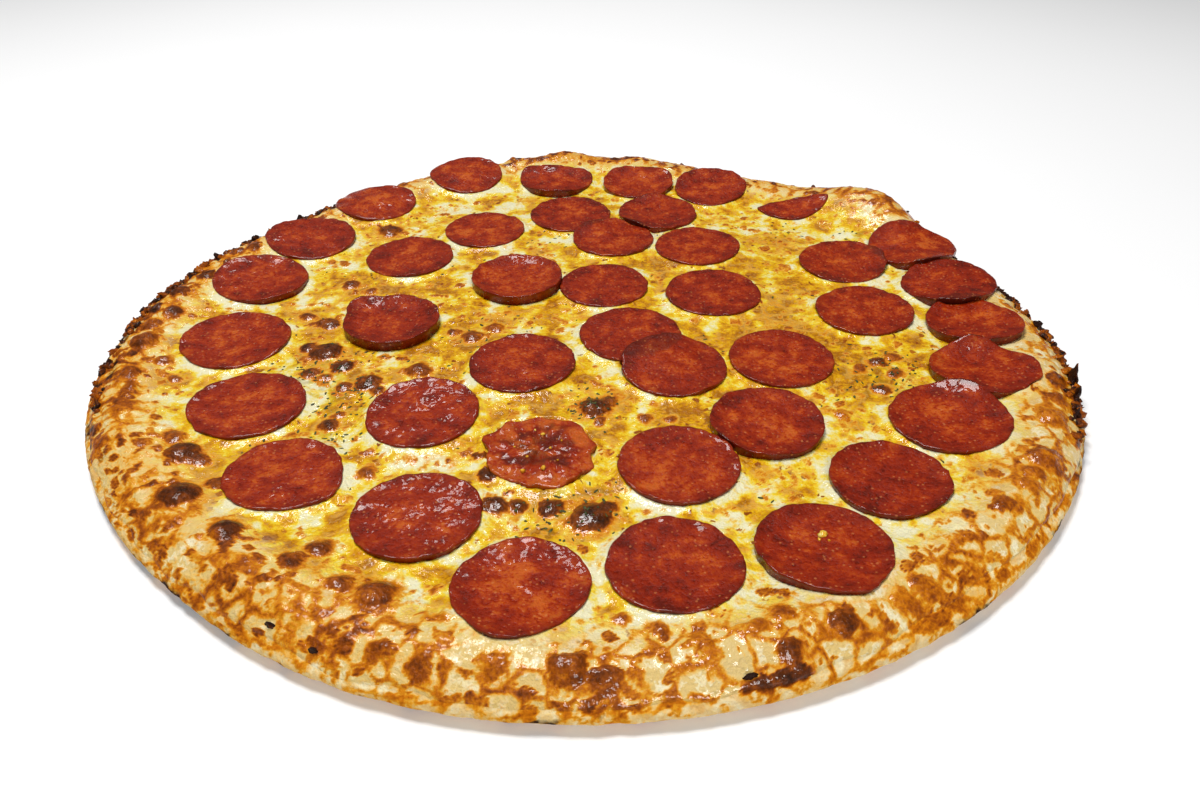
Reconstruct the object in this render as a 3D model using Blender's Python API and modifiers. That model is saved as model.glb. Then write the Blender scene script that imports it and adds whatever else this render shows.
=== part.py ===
"""A whole sixteen-inch pepperoni pizza, uncut, as it comes out of the oven.

It is a thin round of dough with a puffed rim, a sheet of melted cheese baked almost to the edge,
and forty-one slices of pepperoni that lie where they settled, some on top of others.
Lengths are in metres. X is to the right, Y is away from the reader, and Z is up from the underside.
"""

import math
from dataclasses import dataclass

import bmesh
import bpy
import numpy as np
from mathutils import Vector, noise
from mathutils.bvhtree import BVHTree

MM = 0.001
HIGH_ABOVE = 100 * MM
CLEARANCE = 0.3 * MM

# The dough, before its rim is made uneven: each point is a distance from the middle and a height, in
# millimetres, from the middle of the top out to the rim and back under it.
PIZZA_RADIUS = 203.5 * MM
DOUGH_PROFILE_MM = (
    (0, 4.4), (70, 4.4), (125, 4.4), (152, 5.0), (167, 6.6), (177, 8.6), (185, 9.9), (192.5, 9.5),
    (198.5, 7.8), (202.5, 5.6), (203.5, 3.8), (201.7, 1.6), (197, 0.4), (191, 0), (0, 0),
)
DOUGH_STEPS = 80
CREST_RADIUS = 184 * MM
CREST_SPREAD = 14 * MM
RIM_RIPPLE = 1.3 * MM
RIM_RIPPLES_ROUND = 4.5

# Where the round isn't round: an angle and a half width in degrees, and how far the edge is drawn in, or
# out where the number is below 0, in millimetres.
OUTLINE_DENTS = ((140, 20, 8), (60, 13, 12), (14, 14, 8), (37, 11, -3), (-173, 20, -5), (-128, 12, 2))
# Gas bubbles under the skin of the dough: x, y, width and height in millimetres.
DOUGH_BUBBLES_MM = (
    (152, 112, 84, 11), (-18, 188, 62, 4.4), (-42, 190, 26, 3.2), (-13, 197, 26, 2.6), (28, 184, 40, 2.4),
    (-78, 178, 40, 2.4), (-96, -158, 62, 2), (166, -106, 26, 2.6), (-178, -84, 48, 1.8), (-190, 18, 44, 2.6),
    (104, 152, 34, 2), (60, -178, 56, 1.4), (186, -42, 34, 2),
)

# The cheese. It thins out over the rim and stops short of the edge by an uneven margin.
CHEESE_THICKNESS = 2.1 * MM
CHEESE_AT_RIM = 1.7 * MM
CHEESE_MARGIN = 2.4 * MM
CHEESE_MARGIN_SWING = 1.6 * MM
# Where more of the dough is left bare: an angle and a half width in degrees, and by how much in millimetres.
BARE_STRETCHES = ((-53, 11, 3.5), (176, 9, 1.5))
CHEESE_ROOT = 3.0 * MM
CHEESE_ROOT_SHARE = 0.96
CHEESE_CELLS = 104
CHEESE_TRIANGLES_KEPT = 0.12
SWELL, SWELL_WIDTH = 0.5 * MM, 24 * MM
CRAG, CRAG_WIDTH = 0.9 * MM, 9 * MM
RIM_STARTS, RIM_FADE = 140 * MM, 40 * MM
# Blisters and crags keep clear of a slice out to this share of its radius, over this much of it.
COVER_REACH, COVER_FADE = 1.2, 0.2
MARGIN_WAVES = 26

# Brown blisters in the cheese: x, y and width in millimetres.
BLISTERS_MM = (
    (-112, -22, 16), (-121, -18, 8), (-115, -38, 9), (-103, -33, 9), (-90, -45, 12), (-99, -48, 7),
    (-71, -36, 12), (-97, -67, 6), (-99, -74, 8), (-78, -102, 7), (-35, -104, 9), (-39, -93, 7),
    (-32, -120, 10), (-13, -121, 9), (1, -126, 15), (8, -121, 7), (3, -64, 13), (-50, -10, 10),
    (-42, -3, 9), (-117, -136, 13), (-136, -119, 17), (-146, -93, 14), (-168, -44, 7), (-189, -20, 13),
    (-185, -45, 11), (-180, -56, 9), (-176, -32, 9), (-85, -143, 10), (-63, -162, 17), (-58, -184, 8),
    (-46, -189, 8), (-25, -193, 8), (-2, -194, 18), (56, -187, 9), (102, -174, 6), (110, -167, 7),
    (141, -147, 6), (73, -175, 9), (57, -172, 8), (48, -178, 8), (101, -162, 10), (160, -104, 18),
    (139, -127, 12), (150, -120, 11), (173, -80, 12), (180, -66, 9), (117, -54, 8), (120, -34, 9),
    (127, -30, 8), (-129, 7, 8), (-117, 1, 10), (-107, 96, 15), (-114, 38, 12), (30, -72, 6),
)
BLISTER_RISE = 0.17
BLISTER_TALLEST = 2.3 * MM
# Burnt flakes that stand on the edge of the cheese: angle round the pizza in degrees, distance in from that
# edge, length and width in millimetres, and how far it leans outwards in degrees.
FLAKES = (
    (-14.6, 2, 11, 12, 5), (-18, 2, 8, 12, 5), (-21.5, 2, 6, 10, 5), (-11.4, 3, 6, 9, 10),
    (-8, 3, 5, 9, 15), (-4, 3, 4.5, 9, 15), (0, 3, 4, 9, 15), (5, 3, 4, 8, 15), (48, 3, 5, 6, 15),
    (103, 3, 5, 9, 30), (139.5, 3, 5.5, 8, 20), (145, 3, 6, 9, 25), (149, 4, 6, 9, 30), (161, 4, 6, 9, 25),
    (167, 4, 5, 10, 15), (172, 5, 5, 9, 15), (178, 4, 5, 9, 15), (-170.5, 4, 5, 8, 15), (-163, 4, 5, 8, 20),
    (-117, 3, 4.5, 7, 10), (-112, 3, 4.5, 6, 10), (-76, 3, 5, 8, 20),
)
FLAKE_ROOT = 2.5 * MM
FLAKE_TIP = 0.7 * MM
FLAKE_SIDES = 6
FLAKE_FLATNESS = 0.35

SLICE_THICKNESS = 1.5 * MM
SLICE_SEGMENTS = 18
SLICE_INNER_RING = 0.74
SAMPLES_ALONG_EDGE = 11
# How far round a slice a nose or a dent spreads, in radians.
NOSE_SPREAD = 0.30
DENT_SPREAD = 0.45
OUTLINE_WAVES, FINE_WAVES, FINE_SHARE = 2.2, 7, 0.6
# Slices whose middles are closer than this share of their two widths may touch.
NEAR_SHARE = 0.6
# The share of a slice, in percent, that sinks into its bed before it is bent, and the rounds of bending.
SUNK_PERCENT = 70
BENDING_ROUNDS = 60


@dataclass
class Slice:
    """One slice: its middle and width in millimetres, and how it warped in the heat.

    curl lifts the whole edge, fold lifts two opposite sides and tip lifts one side, each in millimetres,
    with the angle in degrees towards which it acts. nose draws the outline out to a point, dent draws it in,
    and cut leaves away what lies past that share of the radius, where the cheese has closed over it.
    """

    x: float
    y: float
    width: float = 44
    curl: float = 0.4
    fold: float = 0
    fold_at: float = 0
    tip: float = 0
    tip_at: float = 0
    nose: float = 0
    nose_at: float = 0
    dent: float = 0
    dent_at: float = 0
    cut: float = 2
    cut_at: float = 0
    rough: float = 0.014


# From the lowest to the topmost wherever two of them touch.
SLICES = (
    Slice(-74, 165, 43, curl=0.8, tip=3.0, tip_at=95),
    Slice(-20, 164, 44, tip=2.2, tip_at=-90, cut=0.5, cut_at=82),
    Slice(28, 157, 42, fold=1.4, dent=5, dent_at=80),
    Slice(69, 146, 42, tip=1.4, tip_at=125),
    Slice(111.5, 125, 41, curl=0, cut=0.03, cut_at=92),
    Slice(-120, 128, 44.5, tip=0.8, tip_at=70, dent=5, dent_at=82),
    Slice(-11, 116, 45),
    Slice(12, 85, 43),
    Slice(55, 75, 44),
    Slice(37, 116, 44, curl=0.6),
    Slice(-56, 97, 43),
    Slice(-145, 84, 45.5, fold=1.0, fold_at=-12, dent=3.4, dent_at=105),
    Slice(-91, 66, 44.5),
    Slice(168, -7, 40, fold=1, fold_at=-15, tip=3, tip_at=-100, nose=2.5, nose_at=-45, dent=4, dent_at=36),
    Slice(168, 27, 42, curl=0.6, tip=0.6, tip_at=-110, dent=2, dent_at=70),
    Slice(162, 65, 43, curl=0.6, dent=3.5, dent_at=48),
    Slice(-158, 40, 44.5, curl=0.6, tip=1.2, tip_at=-40),
    Slice(7, 34, 43),
    Slice(-35, 40, 44, curl=3.6),
    Slice(58, 26, 45.5),
    Slice(125, 55, 43, tip=1.0, tip_at=110),
    Slice(124, 7, 44, curl=0.9),
    Slice(-88, 0.5, 43, curl=3.6, nose=7, nose_at=140),
    Slice(-153, -14, 46.5),
    Slice(18, -11, 45),
    Slice(35, -37, 44.5, curl=0.6),
    Slice(80, -32, 44, curl=0.7),
    Slice(-28, -33, 45),
    Slice(159, -44, 41, tip=2.8, tip_at=-140, nose=3, nose_at=-25, dent=3, dent_at=50),
    Slice(-133, -62, 45.5, curl=0.6),
    Slice(-64, -68, 44, curl=0.6, tip=2.0, tip_at=92),
    Slice(32, -100, 44, curl=1.0),
    Slice(67, -76, 44, curl=1.4),
    Slice(135.5, -76.5, 45),
    Slice(-18, -91, 43, curl=0.2, rough=0.085),
    Slice(104, -110.5, 42, curl=1.3),
    Slice(-107, -104.5, 42, curl=0.6, nose=2.5, nose_at=-28),
    Slice(-57, -126, 44.5, curl=0.8, tip=0.8, tip_at=-80),
    Slice(74, -144, 44, curl=0.6, tip=1.4, tip_at=-140, nose=3, nose_at=-72, dent=1.6, dent_at=-128),
    Slice(-20, -159, 44, curl=0.8, nose=2.5, nose_at=-105, dent=1.5, dent_at=-35),
    Slice(27, -150, 44.5, curl=0.5),
)


def clear_scene():
    for obj in list(bpy.data.objects):
        bpy.data.objects.remove(obj, do_unlink=True)


def new_collection(name):
    collection = bpy.data.collections.new(name)
    bpy.context.scene.collection.children.link(collection)
    return collection


def add_object(name, mesh, collection, material=None):
    obj = bpy.data.objects.new(name, mesh)
    collection.objects.link(obj)
    if material:
        mesh.materials.clear()
        mesh.materials.append(material)
    return obj


def finish(name, rgb, roughness):
    """A Principled material: none of the pizza is metal."""
    material = bpy.data.materials.new(name)
    material.use_nodes = True
    shader = material.node_tree.nodes["Principled BSDF"]
    shader.inputs["Base Color"].default_value = (*rgb, 1)
    shader.inputs["Roughness"].default_value = roughness
    shader.inputs["Metallic"].default_value = 0
    return material


def evaluated_mesh(obj):
    """The object's mesh with its modifiers applied."""
    graph = bpy.context.evaluated_depsgraph_get()
    return bpy.data.meshes.new_from_object(obj.evaluated_get(graph), depsgraph=graph)


def surface_tree(obj):
    """What a ray meets: the object's evaluated surface."""
    bpy.context.view_layer.update()
    return BVHTree.FromObject(obj, bpy.context.evaluated_depsgraph_get())


def heights_over(trees, points):
    """The highest surface of any tree under each (x, y), and minus infinity where there is none."""
    found = np.full(len(points), -np.inf)
    down = Vector((0, 0, -1))
    for row, (x, y) in enumerate(points):
        for tree in trees:
            hit = tree.ray_cast(Vector((x, y, HIGH_ABOVE)), down)[0]
            if hit:
                found[row] = max(found[row], hit.z)
    return found


def positions(mesh):
    flat = np.empty(len(mesh.vertices) * 3)
    mesh.vertices.foreach_get("co", flat)
    return flat.reshape(-1, 3)


def set_positions(mesh, points):
    mesh.vertices.foreach_set("co", points.astype(np.float32).ravel())
    mesh.update()


def turn_between(angle, towards):
    """The smallest turn between two angles in radians, from 0 to pi."""
    return np.abs((angle - towards + math.pi) % (2 * math.pi) - math.pi)


def waves(angle, seed, count):
    """A smooth closed run of swings about 0, with a few waves to the round."""
    return noise.noise(Vector((math.cos(angle) * count / 2, math.sin(angle) * count / 2, seed)))


def outline_share(angle):
    """How far out the edge is at each angle, as a share of the nominal radius."""
    drawn_in = sum(
        depth * MM * np.exp(-((turn_between(angle, math.radians(at)) / math.radians(width)) ** 2))
        for at, width, depth in OUTLINE_DENTS
    )
    return 1 - drawn_in / PIZZA_RADIUS


def domes(x, y, rows):
    """Rounded bumps that end level with what is round them, each row with x, y, width and height in mm."""
    rise = np.zeros_like(x)
    for at_x, at_y, width, height in rows:
        off = np.hypot(x - at_x * MM, y - at_y * MM) / (width * MM / 2)
        rise += height * MM * np.clip(1 - off**2, 0, None) ** 2
    return rise


def make_dough(collection, material):
    """The base: a turned profile, then drawn in, rippled and bubbled where the real one is."""
    profile = bpy.data.meshes.new("dough_profile")
    corners = [(radius * MM, 0, height * MM) for radius, height in DOUGH_PROFILE_MM]
    profile.from_pydata(corners, [(i, i + 1) for i in range(len(corners) - 1)], [])
    turned = add_object("turned_dough", profile, collection)
    screw = turned.modifiers.new("turn", "SCREW")
    screw.steps = screw.render_steps = DOUGH_STEPS
    screw.use_merge_vertices = True
    screw.merge_threshold = 0.01 * MM
    turned.modifiers.new("triangles", "TRIANGULATE")
    mesh = evaluated_mesh(turned)
    bpy.data.objects.remove(turned)

    points = positions(mesh)
    angle = np.arctan2(points[:, 1], points[:, 0])
    radius = np.hypot(points[:, 0], points[:, 1])
    on_crest = np.exp(-(((radius - CREST_RADIUS) / CREST_SPREAD) ** 2))
    share_of_height = points[:, 2] / points[:, 2].max()
    ripple = np.array([waves(a, 3.0, RIM_RIPPLES_ROUND * 2) for a in angle])
    points[:, :2] *= outline_share(angle)[:, None]
    bubbles = domes(points[:, 0], points[:, 1], DOUGH_BUBBLES_MM)
    points[:, 2] += (RIM_RIPPLE * ripple * on_crest + bubbles) * share_of_height
    set_positions(mesh, points)
    mesh.shade_smooth()
    return add_object("dough", mesh, collection, material)


def round_from_square(points):
    """Maps a square of half width 1 onto a round of radius 1, keeping its cells much the same size."""
    x, y = points[:, 0], points[:, 1]
    return np.stack([x * np.sqrt(1 - y**2 / 2), y * np.sqrt(1 - x**2 / 2)], axis=1)


def slice_cover(x, y):
    """1 under the middle of a slice, falling to 0 just outside its edge."""
    cover = np.zeros_like(x)
    for piece in SLICES:
        reach = np.hypot(x - piece.x * MM, y - piece.y * MM) / (piece.width * MM / 2)
        cover = np.maximum(cover, np.clip((COVER_REACH - reach) / COVER_FADE, 0, 1))
    return cover


def cheese_relief(x, y):
    """The melted sheet's own height over the dough: thickness, slow swells, crags on the rim and blisters."""
    out = np.hypot(x, y) / outline_share(np.arctan2(y, x))
    to_rim = np.clip((out - RIM_STARTS) / RIM_FADE, 0, 1)
    thickness = CHEESE_THICKNESS + (CHEESE_AT_RIM - CHEESE_THICKNESS) * to_rim
    swells = np.array([noise.noise(Vector((a, b, 0)) / SWELL_WIDTH) for a, b in zip(x, y)])
    crags = np.array([noise.noise(Vector((a, b, CRAG_WIDTH)) / CRAG_WIDTH) for a, b in zip(x, y)])
    rows = [(*row, min(BLISTER_RISE * row[2], BLISTER_TALLEST / MM)) for row in BLISTERS_MM]
    bare = 1 - slice_cover(x, y)
    return thickness + SWELL * swells + bare * (CRAG * np.abs(crags) * to_rim + domes(x, y, rows))


def cheese_edge(angle):
    """How far out the cheese reaches at an angle."""
    margin = CHEESE_MARGIN + CHEESE_MARGIN_SWING * max(-0.7, 2 * waves(angle, 7.0, MARGIN_WAVES))
    for at, width, depth in BARE_STRETCHES:
        margin += depth * MM * math.exp(-((turn_between(angle, math.radians(at)) / math.radians(width)) ** 2))
    return PIZZA_RADIUS * float(outline_share(np.array(angle))) - margin


def make_flakes(ground, collection):
    """The burnt flakes on the rim, each a flattened, leaning spike that roots in the cheese."""
    for number, (at, inset, length, width, lean) in enumerate(FLAKES, 1):
        bm = bmesh.new()
        bmesh.ops.create_cone(
            bm,
            cap_ends=True,
            segments=FLAKE_SIDES,
            radius1=width * MM / 2,
            radius2=FLAKE_TIP,
            depth=length * MM,
        )
        bmesh.ops.scale(bm, vec=(1, FLAKE_FLATNESS, 1), verts=bm.verts)
        bmesh.ops.translate(bm, vec=(0, 0, length * MM / 2 - FLAKE_ROOT), verts=bm.verts)
        mesh = bpy.data.meshes.new(f"flake_{number:02d}")
        bm.to_mesh(mesh)
        bm.free()
        flake = add_object(mesh.name, mesh, collection)
        angle = math.radians(at)
        reach = cheese_edge(angle) - inset * MM
        x, y = reach * math.cos(angle), reach * math.sin(angle)
        flake.location = (x, y, heights_over([ground], [(x, y)])[0])
        flake.rotation_euler = (math.radians(-lean), 0, angle - math.pi / 2)
        flake.hide_render = True
        flake.display_type = "WIRE"


def make_cheese(dough, collection, helpers, material):
    """The melted sheet: a relief laid over the dough, closed below, and cut by the dough grown by the gap."""
    bm = bmesh.new()
    bmesh.ops.create_grid(bm, x_segments=CHEESE_CELLS, y_segments=CHEESE_CELLS, size=1)
    sheet = bpy.data.meshes.new("cheese_sheet")
    bm.to_mesh(sheet)
    bm.free()
    unit = round_from_square(positions(sheet))
    angle = np.arctan2(unit[:, 1], unit[:, 0])
    edge = np.array([cheese_edge(a) for a in angle])
    x, y = unit[:, 0] * edge, unit[:, 1] * edge
    below = heights_over([surface_tree(dough)], np.stack([x, y], axis=1))
    set_positions(sheet, np.stack([x, y, below + cheese_relief(x, y)], axis=1))

    laid = add_object("laid_cheese", sheet, helpers)
    fewer = laid.modifiers.new("fewer", "DECIMATE")
    fewer.ratio = CHEESE_TRIANGLES_KEPT
    mesh = evaluated_mesh(laid)
    bpy.data.objects.remove(laid)
    close_below(mesh, CHEESE_ROOT, CHEESE_ROOT_SHARE)
    mesh.shade_smooth()
    cheese = add_object("cheese", mesh, collection, material)

    flakes = new_collection("flakes")
    make_flakes(surface_tree(cheese), flakes)
    join = cheese.modifiers.new("flakes", "BOOLEAN")
    join.operation = "UNION"
    join.operand_type = "COLLECTION"
    join.collection = flakes
    grown = add_object("grown_dough", dough.data.copy(), helpers)
    grown.hide_render = True
    grown.display_type = "WIRE"
    swell = grown.modifiers.new("gap", "DISPLACE")
    swell.strength = CLEARANCE
    swell.mid_level = 0
    cut = cheese.modifiers.new("dough", "BOOLEAN")
    cut.operation = "DIFFERENCE"
    cut.object = grown
    cheese.data = evaluated_mesh(cheese)
    cheese.modifiers.clear()
    for helper in [grown, *flakes.objects]:
        bpy.data.objects.remove(helper)
    bpy.data.collections.remove(flakes)
    return cheese


def close_below(mesh, level, share):
    """Turns an open sheet into a block: its rim drops, a little inwards, to a level floor."""
    bm = bmesh.new()
    bm.from_mesh(mesh)
    rim = [edge for edge in bm.edges if edge.is_boundary]
    dropped = bmesh.ops.extrude_edge_only(bm, edges=rim)["geom"]
    for item in dropped:
        if isinstance(item, bmesh.types.BMVert):
            item.co = (item.co.x * share, item.co.y * share, level)
    bmesh.ops.holes_fill(bm, edges=[edge for edge in bm.edges if edge.is_boundary], sides=0)
    bmesh.ops.recalc_face_normals(bm, faces=bm.faces)
    bm.to_mesh(mesh)
    bm.free()


def round_template():
    """A flat round of radius 1: a fan in the middle and one ring round it, all triangles."""
    bm = bmesh.new()
    bmesh.ops.create_circle(
        bm, cap_ends=True, cap_tris=True, segments=SLICE_SEGMENTS, radius=SLICE_INNER_RING
    )
    rim = [edge for edge in bm.edges if edge.is_boundary]
    outer = bmesh.ops.extrude_edge_only(bm, edges=rim)["geom"]
    verts = [item for item in outer if isinstance(item, bmesh.types.BMVert)]
    bmesh.ops.scale(bm, vec=(1 / SLICE_INNER_RING,) * 3, verts=verts)
    bmesh.ops.triangulate(bm, faces=bm.faces)
    bmesh.ops.recalc_face_normals(bm, faces=bm.faces)
    mesh = bpy.data.meshes.new("round")
    bm.to_mesh(mesh)
    bm.free()
    return mesh


def spread_samples(mesh):
    """Weights that turn the template's corners into points spread evenly over all of its triangles."""
    steps = range(SAMPLES_ALONG_EDGE + 1)
    pairs = [(a, b) for a in steps for b in steps if a + b <= SAMPLES_ALONG_EDGE]
    lattice = [(a / SAMPLES_ALONG_EDGE, b / SAMPLES_ALONG_EDGE) for a, b in pairs]
    weights = np.zeros((len(mesh.polygons) * len(lattice), len(mesh.vertices)))
    for row, (face, (a, b)) in enumerate((face, share) for face in mesh.polygons for share in lattice):
        weights[row, list(face.vertices)] = (a, b, 1 - a - b)
    return weights


def slice_outline(piece, angle, number):
    """The distance from the slice's middle to its edge at an angle."""
    half = piece.width * MM / 2
    uneven = waves(angle, number * 1.7, OUTLINE_WAVES)
    uneven += FINE_SHARE * waves(angle, number * 3.1 + 50, FINE_WAVES)
    from_nose = turn_between(angle, math.radians(piece.nose_at)) / NOSE_SPREAD
    from_dent = turn_between(angle, math.radians(piece.dent_at)) / DENT_SPREAD
    nose = piece.nose * MM * math.exp(-(from_nose**2))
    dent = piece.dent * MM * math.exp(-(from_dent**2))
    reach = half * (1 + 2 * piece.rough * uneven) + nose - dent
    facing = math.cos(angle - math.radians(piece.cut_at))
    if facing > 0:
        reach = min(reach, piece.cut * half / facing)
    return reach


def warp(piece, share, angle):
    """How far the heat has lifted the slice from lying flat."""
    fold = (1 + np.cos(2 * (angle - math.radians(piece.fold_at)))) / 2
    tip = np.clip(share * np.cos(angle - math.radians(piece.tip_at)), 0, None)
    return (piece.curl * share**4 + piece.fold * fold * share**2 + piece.tip * tip**2) * MM


def settle(points, lift, weights, trees):
    """Heights for a slice that lies on what is under it: it takes the slope and bend of the surface, adds its
    own warp, and is then pushed up wherever it would still sink in."""
    samples = weights @ points
    under = heights_over(trees, samples)
    known = np.isfinite(under)
    middle = points.mean(axis=0)

    def terms(at):
        x, y = (at - middle).T
        return np.stack([np.ones_like(x), x, y, x * x, x * y, y * y], axis=1)

    bend = np.linalg.lstsq(terms(samples[known]), under[known], rcond=None)[0]
    heights = terms(points) @ bend + lift
    floor = under[known] + CLEARANCE
    reach = weights[known]
    heights += max(0, np.percentile(floor - reach @ heights, SUNK_PERCENT))
    for _ in range(BENDING_ROUNDS):
        short = floor - reach @ heights
        if short.max() <= 0:
            break
        heights += (reach * np.clip(short, 0, None)[:, None]).max(axis=0)
    return heights


def make_slice(number, piece, template, weights, trees, collection, material):
    """One slice: a thin shell over a sheet that has settled on the cheese and on the slices below it."""
    name = f"pepperoni_{number:02d}"
    mesh = template.copy()
    mesh.name = name
    unit = positions(mesh)
    share = np.hypot(unit[:, 0], unit[:, 1])
    angle = np.arctan2(unit[:, 1], unit[:, 0])
    reach = np.array([slice_outline(piece, a, number) for a in angle])
    local = np.stack([np.cos(angle), np.sin(angle)], axis=1) * (share * reach)[:, None]
    middle = np.array([piece.x, piece.y]) * MM
    heights = settle(local + middle, warp(piece, share, angle), weights, trees)
    level = heights.mean()
    set_positions(mesh, np.column_stack([local, heights - level]))
    mesh.shade_smooth()
    obj = add_object(name, mesh, collection, material)
    obj.location = (*middle, level)
    shell = obj.modifiers.new("thickness", "SOLIDIFY")
    shell.thickness = SLICE_THICKNESS
    shell.offset = 1
    return obj


def centre_on_origin(objects):
    """Hangs the pieces on one empty, moved so that the whole stands on the middle of its own outline."""
    bpy.context.view_layer.update()
    corners = np.array([obj.matrix_world @ Vector(corner) for obj in objects for corner in obj.bound_box])
    middle = (corners.max(axis=0) + corners.min(axis=0)) / 2
    holder = bpy.data.objects.new("pizza", None)
    bpy.context.scene.collection.objects.link(holder)
    for obj in objects:
        obj.parent = holder
    holder.location = (-middle[0], -middle[1], 0)


def surface_in_place(obj):
    """A slice's own surface, with its place, for the next slice to lie on."""
    bpy.context.view_layer.update()
    mesh = evaluated_mesh(obj)
    mesh.transform(obj.matrix_world)
    tree = BVHTree.FromPolygons([v.co for v in mesh.vertices], [tuple(p.vertices) for p in mesh.polygons])
    bpy.data.meshes.remove(mesh)
    return tree


def build_pizza():
    clear_scene()
    parts = new_collection("pepperoni_pizza")
    helpers = new_collection("helpers")
    dough = make_dough(parts, finish("baked_dough", (0.62, 0.36, 0.12), 0.75))
    cheese = make_cheese(dough, parts, helpers, finish("melted_cheese", (0.80, 0.58, 0.20), 0.4))
    meat = finish("pepperoni", (0.34, 0.05, 0.016), 0.35)

    template = round_template()
    weights = spread_samples(template)
    ground = surface_tree(cheese)
    placed = []
    for number, piece in enumerate(SLICES, 1):
        near = [
            tree
            for other, tree in placed
            if math.dist((piece.x, piece.y), (other.x, other.y)) < (piece.width + other.width) * NEAR_SHARE
        ]
        obj = make_slice(number, piece, template, weights, [ground, *near], parts, meat)
        placed.append((piece, surface_in_place(obj)))
    bpy.data.meshes.remove(template)
    bpy.data.collections.remove(helpers)
    centre_on_origin(list(parts.objects))


build_pizza()
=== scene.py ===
# %% [markdown]
# # A pepperoni pizza, whole and hot
#
# This lesson dresses a set of plain solids as a real pizza: a round of dough, a sheet of melted cheese and
# forty-one slices of pepperoni. The solids give the size and the place of everything. Each finished piece
# takes its outline and its heights from them, and adds what the oven did.

# %% Load the solids
import math

import bpy
import numpy as np
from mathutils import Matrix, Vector
from mathutils.bvhtree import BVHTree


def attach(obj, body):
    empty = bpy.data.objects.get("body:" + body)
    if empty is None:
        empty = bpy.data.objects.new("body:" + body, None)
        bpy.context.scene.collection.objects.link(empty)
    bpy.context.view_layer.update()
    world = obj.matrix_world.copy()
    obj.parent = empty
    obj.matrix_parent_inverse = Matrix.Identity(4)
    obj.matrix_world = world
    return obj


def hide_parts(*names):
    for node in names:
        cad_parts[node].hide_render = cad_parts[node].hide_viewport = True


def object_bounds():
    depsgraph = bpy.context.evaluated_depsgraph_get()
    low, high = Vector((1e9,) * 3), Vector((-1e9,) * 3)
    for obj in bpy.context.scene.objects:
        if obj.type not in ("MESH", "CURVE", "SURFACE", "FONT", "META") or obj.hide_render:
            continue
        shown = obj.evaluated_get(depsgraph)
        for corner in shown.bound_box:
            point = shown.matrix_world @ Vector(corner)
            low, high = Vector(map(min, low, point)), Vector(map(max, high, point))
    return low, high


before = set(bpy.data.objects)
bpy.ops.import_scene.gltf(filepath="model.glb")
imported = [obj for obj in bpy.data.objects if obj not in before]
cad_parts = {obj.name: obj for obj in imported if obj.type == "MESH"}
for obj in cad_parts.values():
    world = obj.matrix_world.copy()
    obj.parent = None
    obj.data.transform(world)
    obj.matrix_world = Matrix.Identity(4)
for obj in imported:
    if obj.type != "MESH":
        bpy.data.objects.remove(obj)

cad_low, cad_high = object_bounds()
print("the solids fill", [round(1000 * side, 1) for side in cad_high - cad_low], "mm")

# %% [markdown]
# ## Units, colours and nodes
#
# Blender measures in metres, and a kitchen thinks in millimetres, so one name does the turning.
# A colour picked by eye is an sRGB hex value, and a shader adds and multiplies light, so each colour is
# turned to linear first. One small function adds a node with its settings and its links, which keeps
# a material readable as a recipe.

# %% Small helpers
MM = 0.001
BODY = "root"


def linear(hex_colour):
    """An sRGB hex colour as the linear red, green, blue and alpha that a shader takes."""
    channels = [int(hex_colour[at:at + 2], 16) / 255 for at in (1, 3, 5)]
    return (*[c / 12.92 if c <= 0.04045 else ((c + 0.055) / 1.055) ** 2.4 for c in channels], 1)


def in_mm(metres):
    """A length in millimetres, for printing."""
    return round(1000 * float(metres), 1)


def new_material(name):
    """An empty material for nodes."""
    material = bpy.data.materials.new(name)
    material.use_nodes = True
    material.node_tree.nodes.clear()
    return material


def node(owner, kind, out=0, options=None, **feeds):
    """Adds a node to a material or world and gives back one of its outputs.

    A feed is a number, a hex colour or another node's output.
    A feed is named after its socket, or is _ and the socket's number. The option stops fills a colour ramp.
    """
    tree = owner.node_tree
    made = tree.nodes.new("ShaderNode" + kind)
    for option, value in (options or {}).items():
        if option == "stops":
            made.color_ramp.elements.remove(made.color_ramp.elements[1])
            for position, colour in value:
                made.color_ramp.elements.new(position).color = linear(colour)
            made.color_ramp.elements.remove(made.color_ramp.elements[0])
        else:
            setattr(made, option, value)
    for name, value in feeds.items():
        socket = made.inputs[int(name[1:])] if name[0] == "_" else made.inputs[name.replace("_", " ")]
        if isinstance(value, bpy.types.NodeSocket):
            tree.links.new(value, socket)
        else:
            socket.default_value = linear(value) if isinstance(value, str) else value
    return made.outputs[out] if made.outputs else made


SIGNED = {"normalize": False}
TIMES_PLUS = {"operation": "MULTIPLY_ADD"}
CLAMPED = {"operation": "MULTIPLY_ADD", "use_clamp": True}
TIMES = {"operation": "MULTIPLY"}
ABOVE = {"operation": "GREATER_THAN"}
COLOURS = {"data_type": "RGBA"}
print("middle grey is", round(linear("#808080")[0], 2), "of the light of white")

# %% [markdown]
# ## Randomness that can be repeated
#
# Melted cheese is uneven at every size, from slow swells down to bubbles. Two ways of making that are
# enough. Swells are gradient noise: a random slope at every crossing of a grid, blended smoothly.
# Scattered seeds are one random point for every square of a grid, which is how bubbles and spots lie:
# irregular, but never two in one place. Both come from one seeded table, so each run gives the same pizza.

# %% Swells and seeds
TABLE = 256
draw = np.random.default_rng(16)
turn = draw.uniform(0, 2 * math.pi, (TABLE, TABLE))
SLOPES = np.stack([np.cos(turn), np.sin(turn)], axis=-1)
CHANCES = draw.uniform(0, 1, (TABLE, TABLE, 4))


def eased(t):
    """From 0 to 1 along a smooth step."""
    t = np.clip(t, 0, 1)
    return t * t * (3 - 2 * t)


def domed(off):
    """A round dome: 1 in the middle, down to 0 where `off` is 1."""
    return np.clip(1 - off**2, 0, 1)


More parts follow.
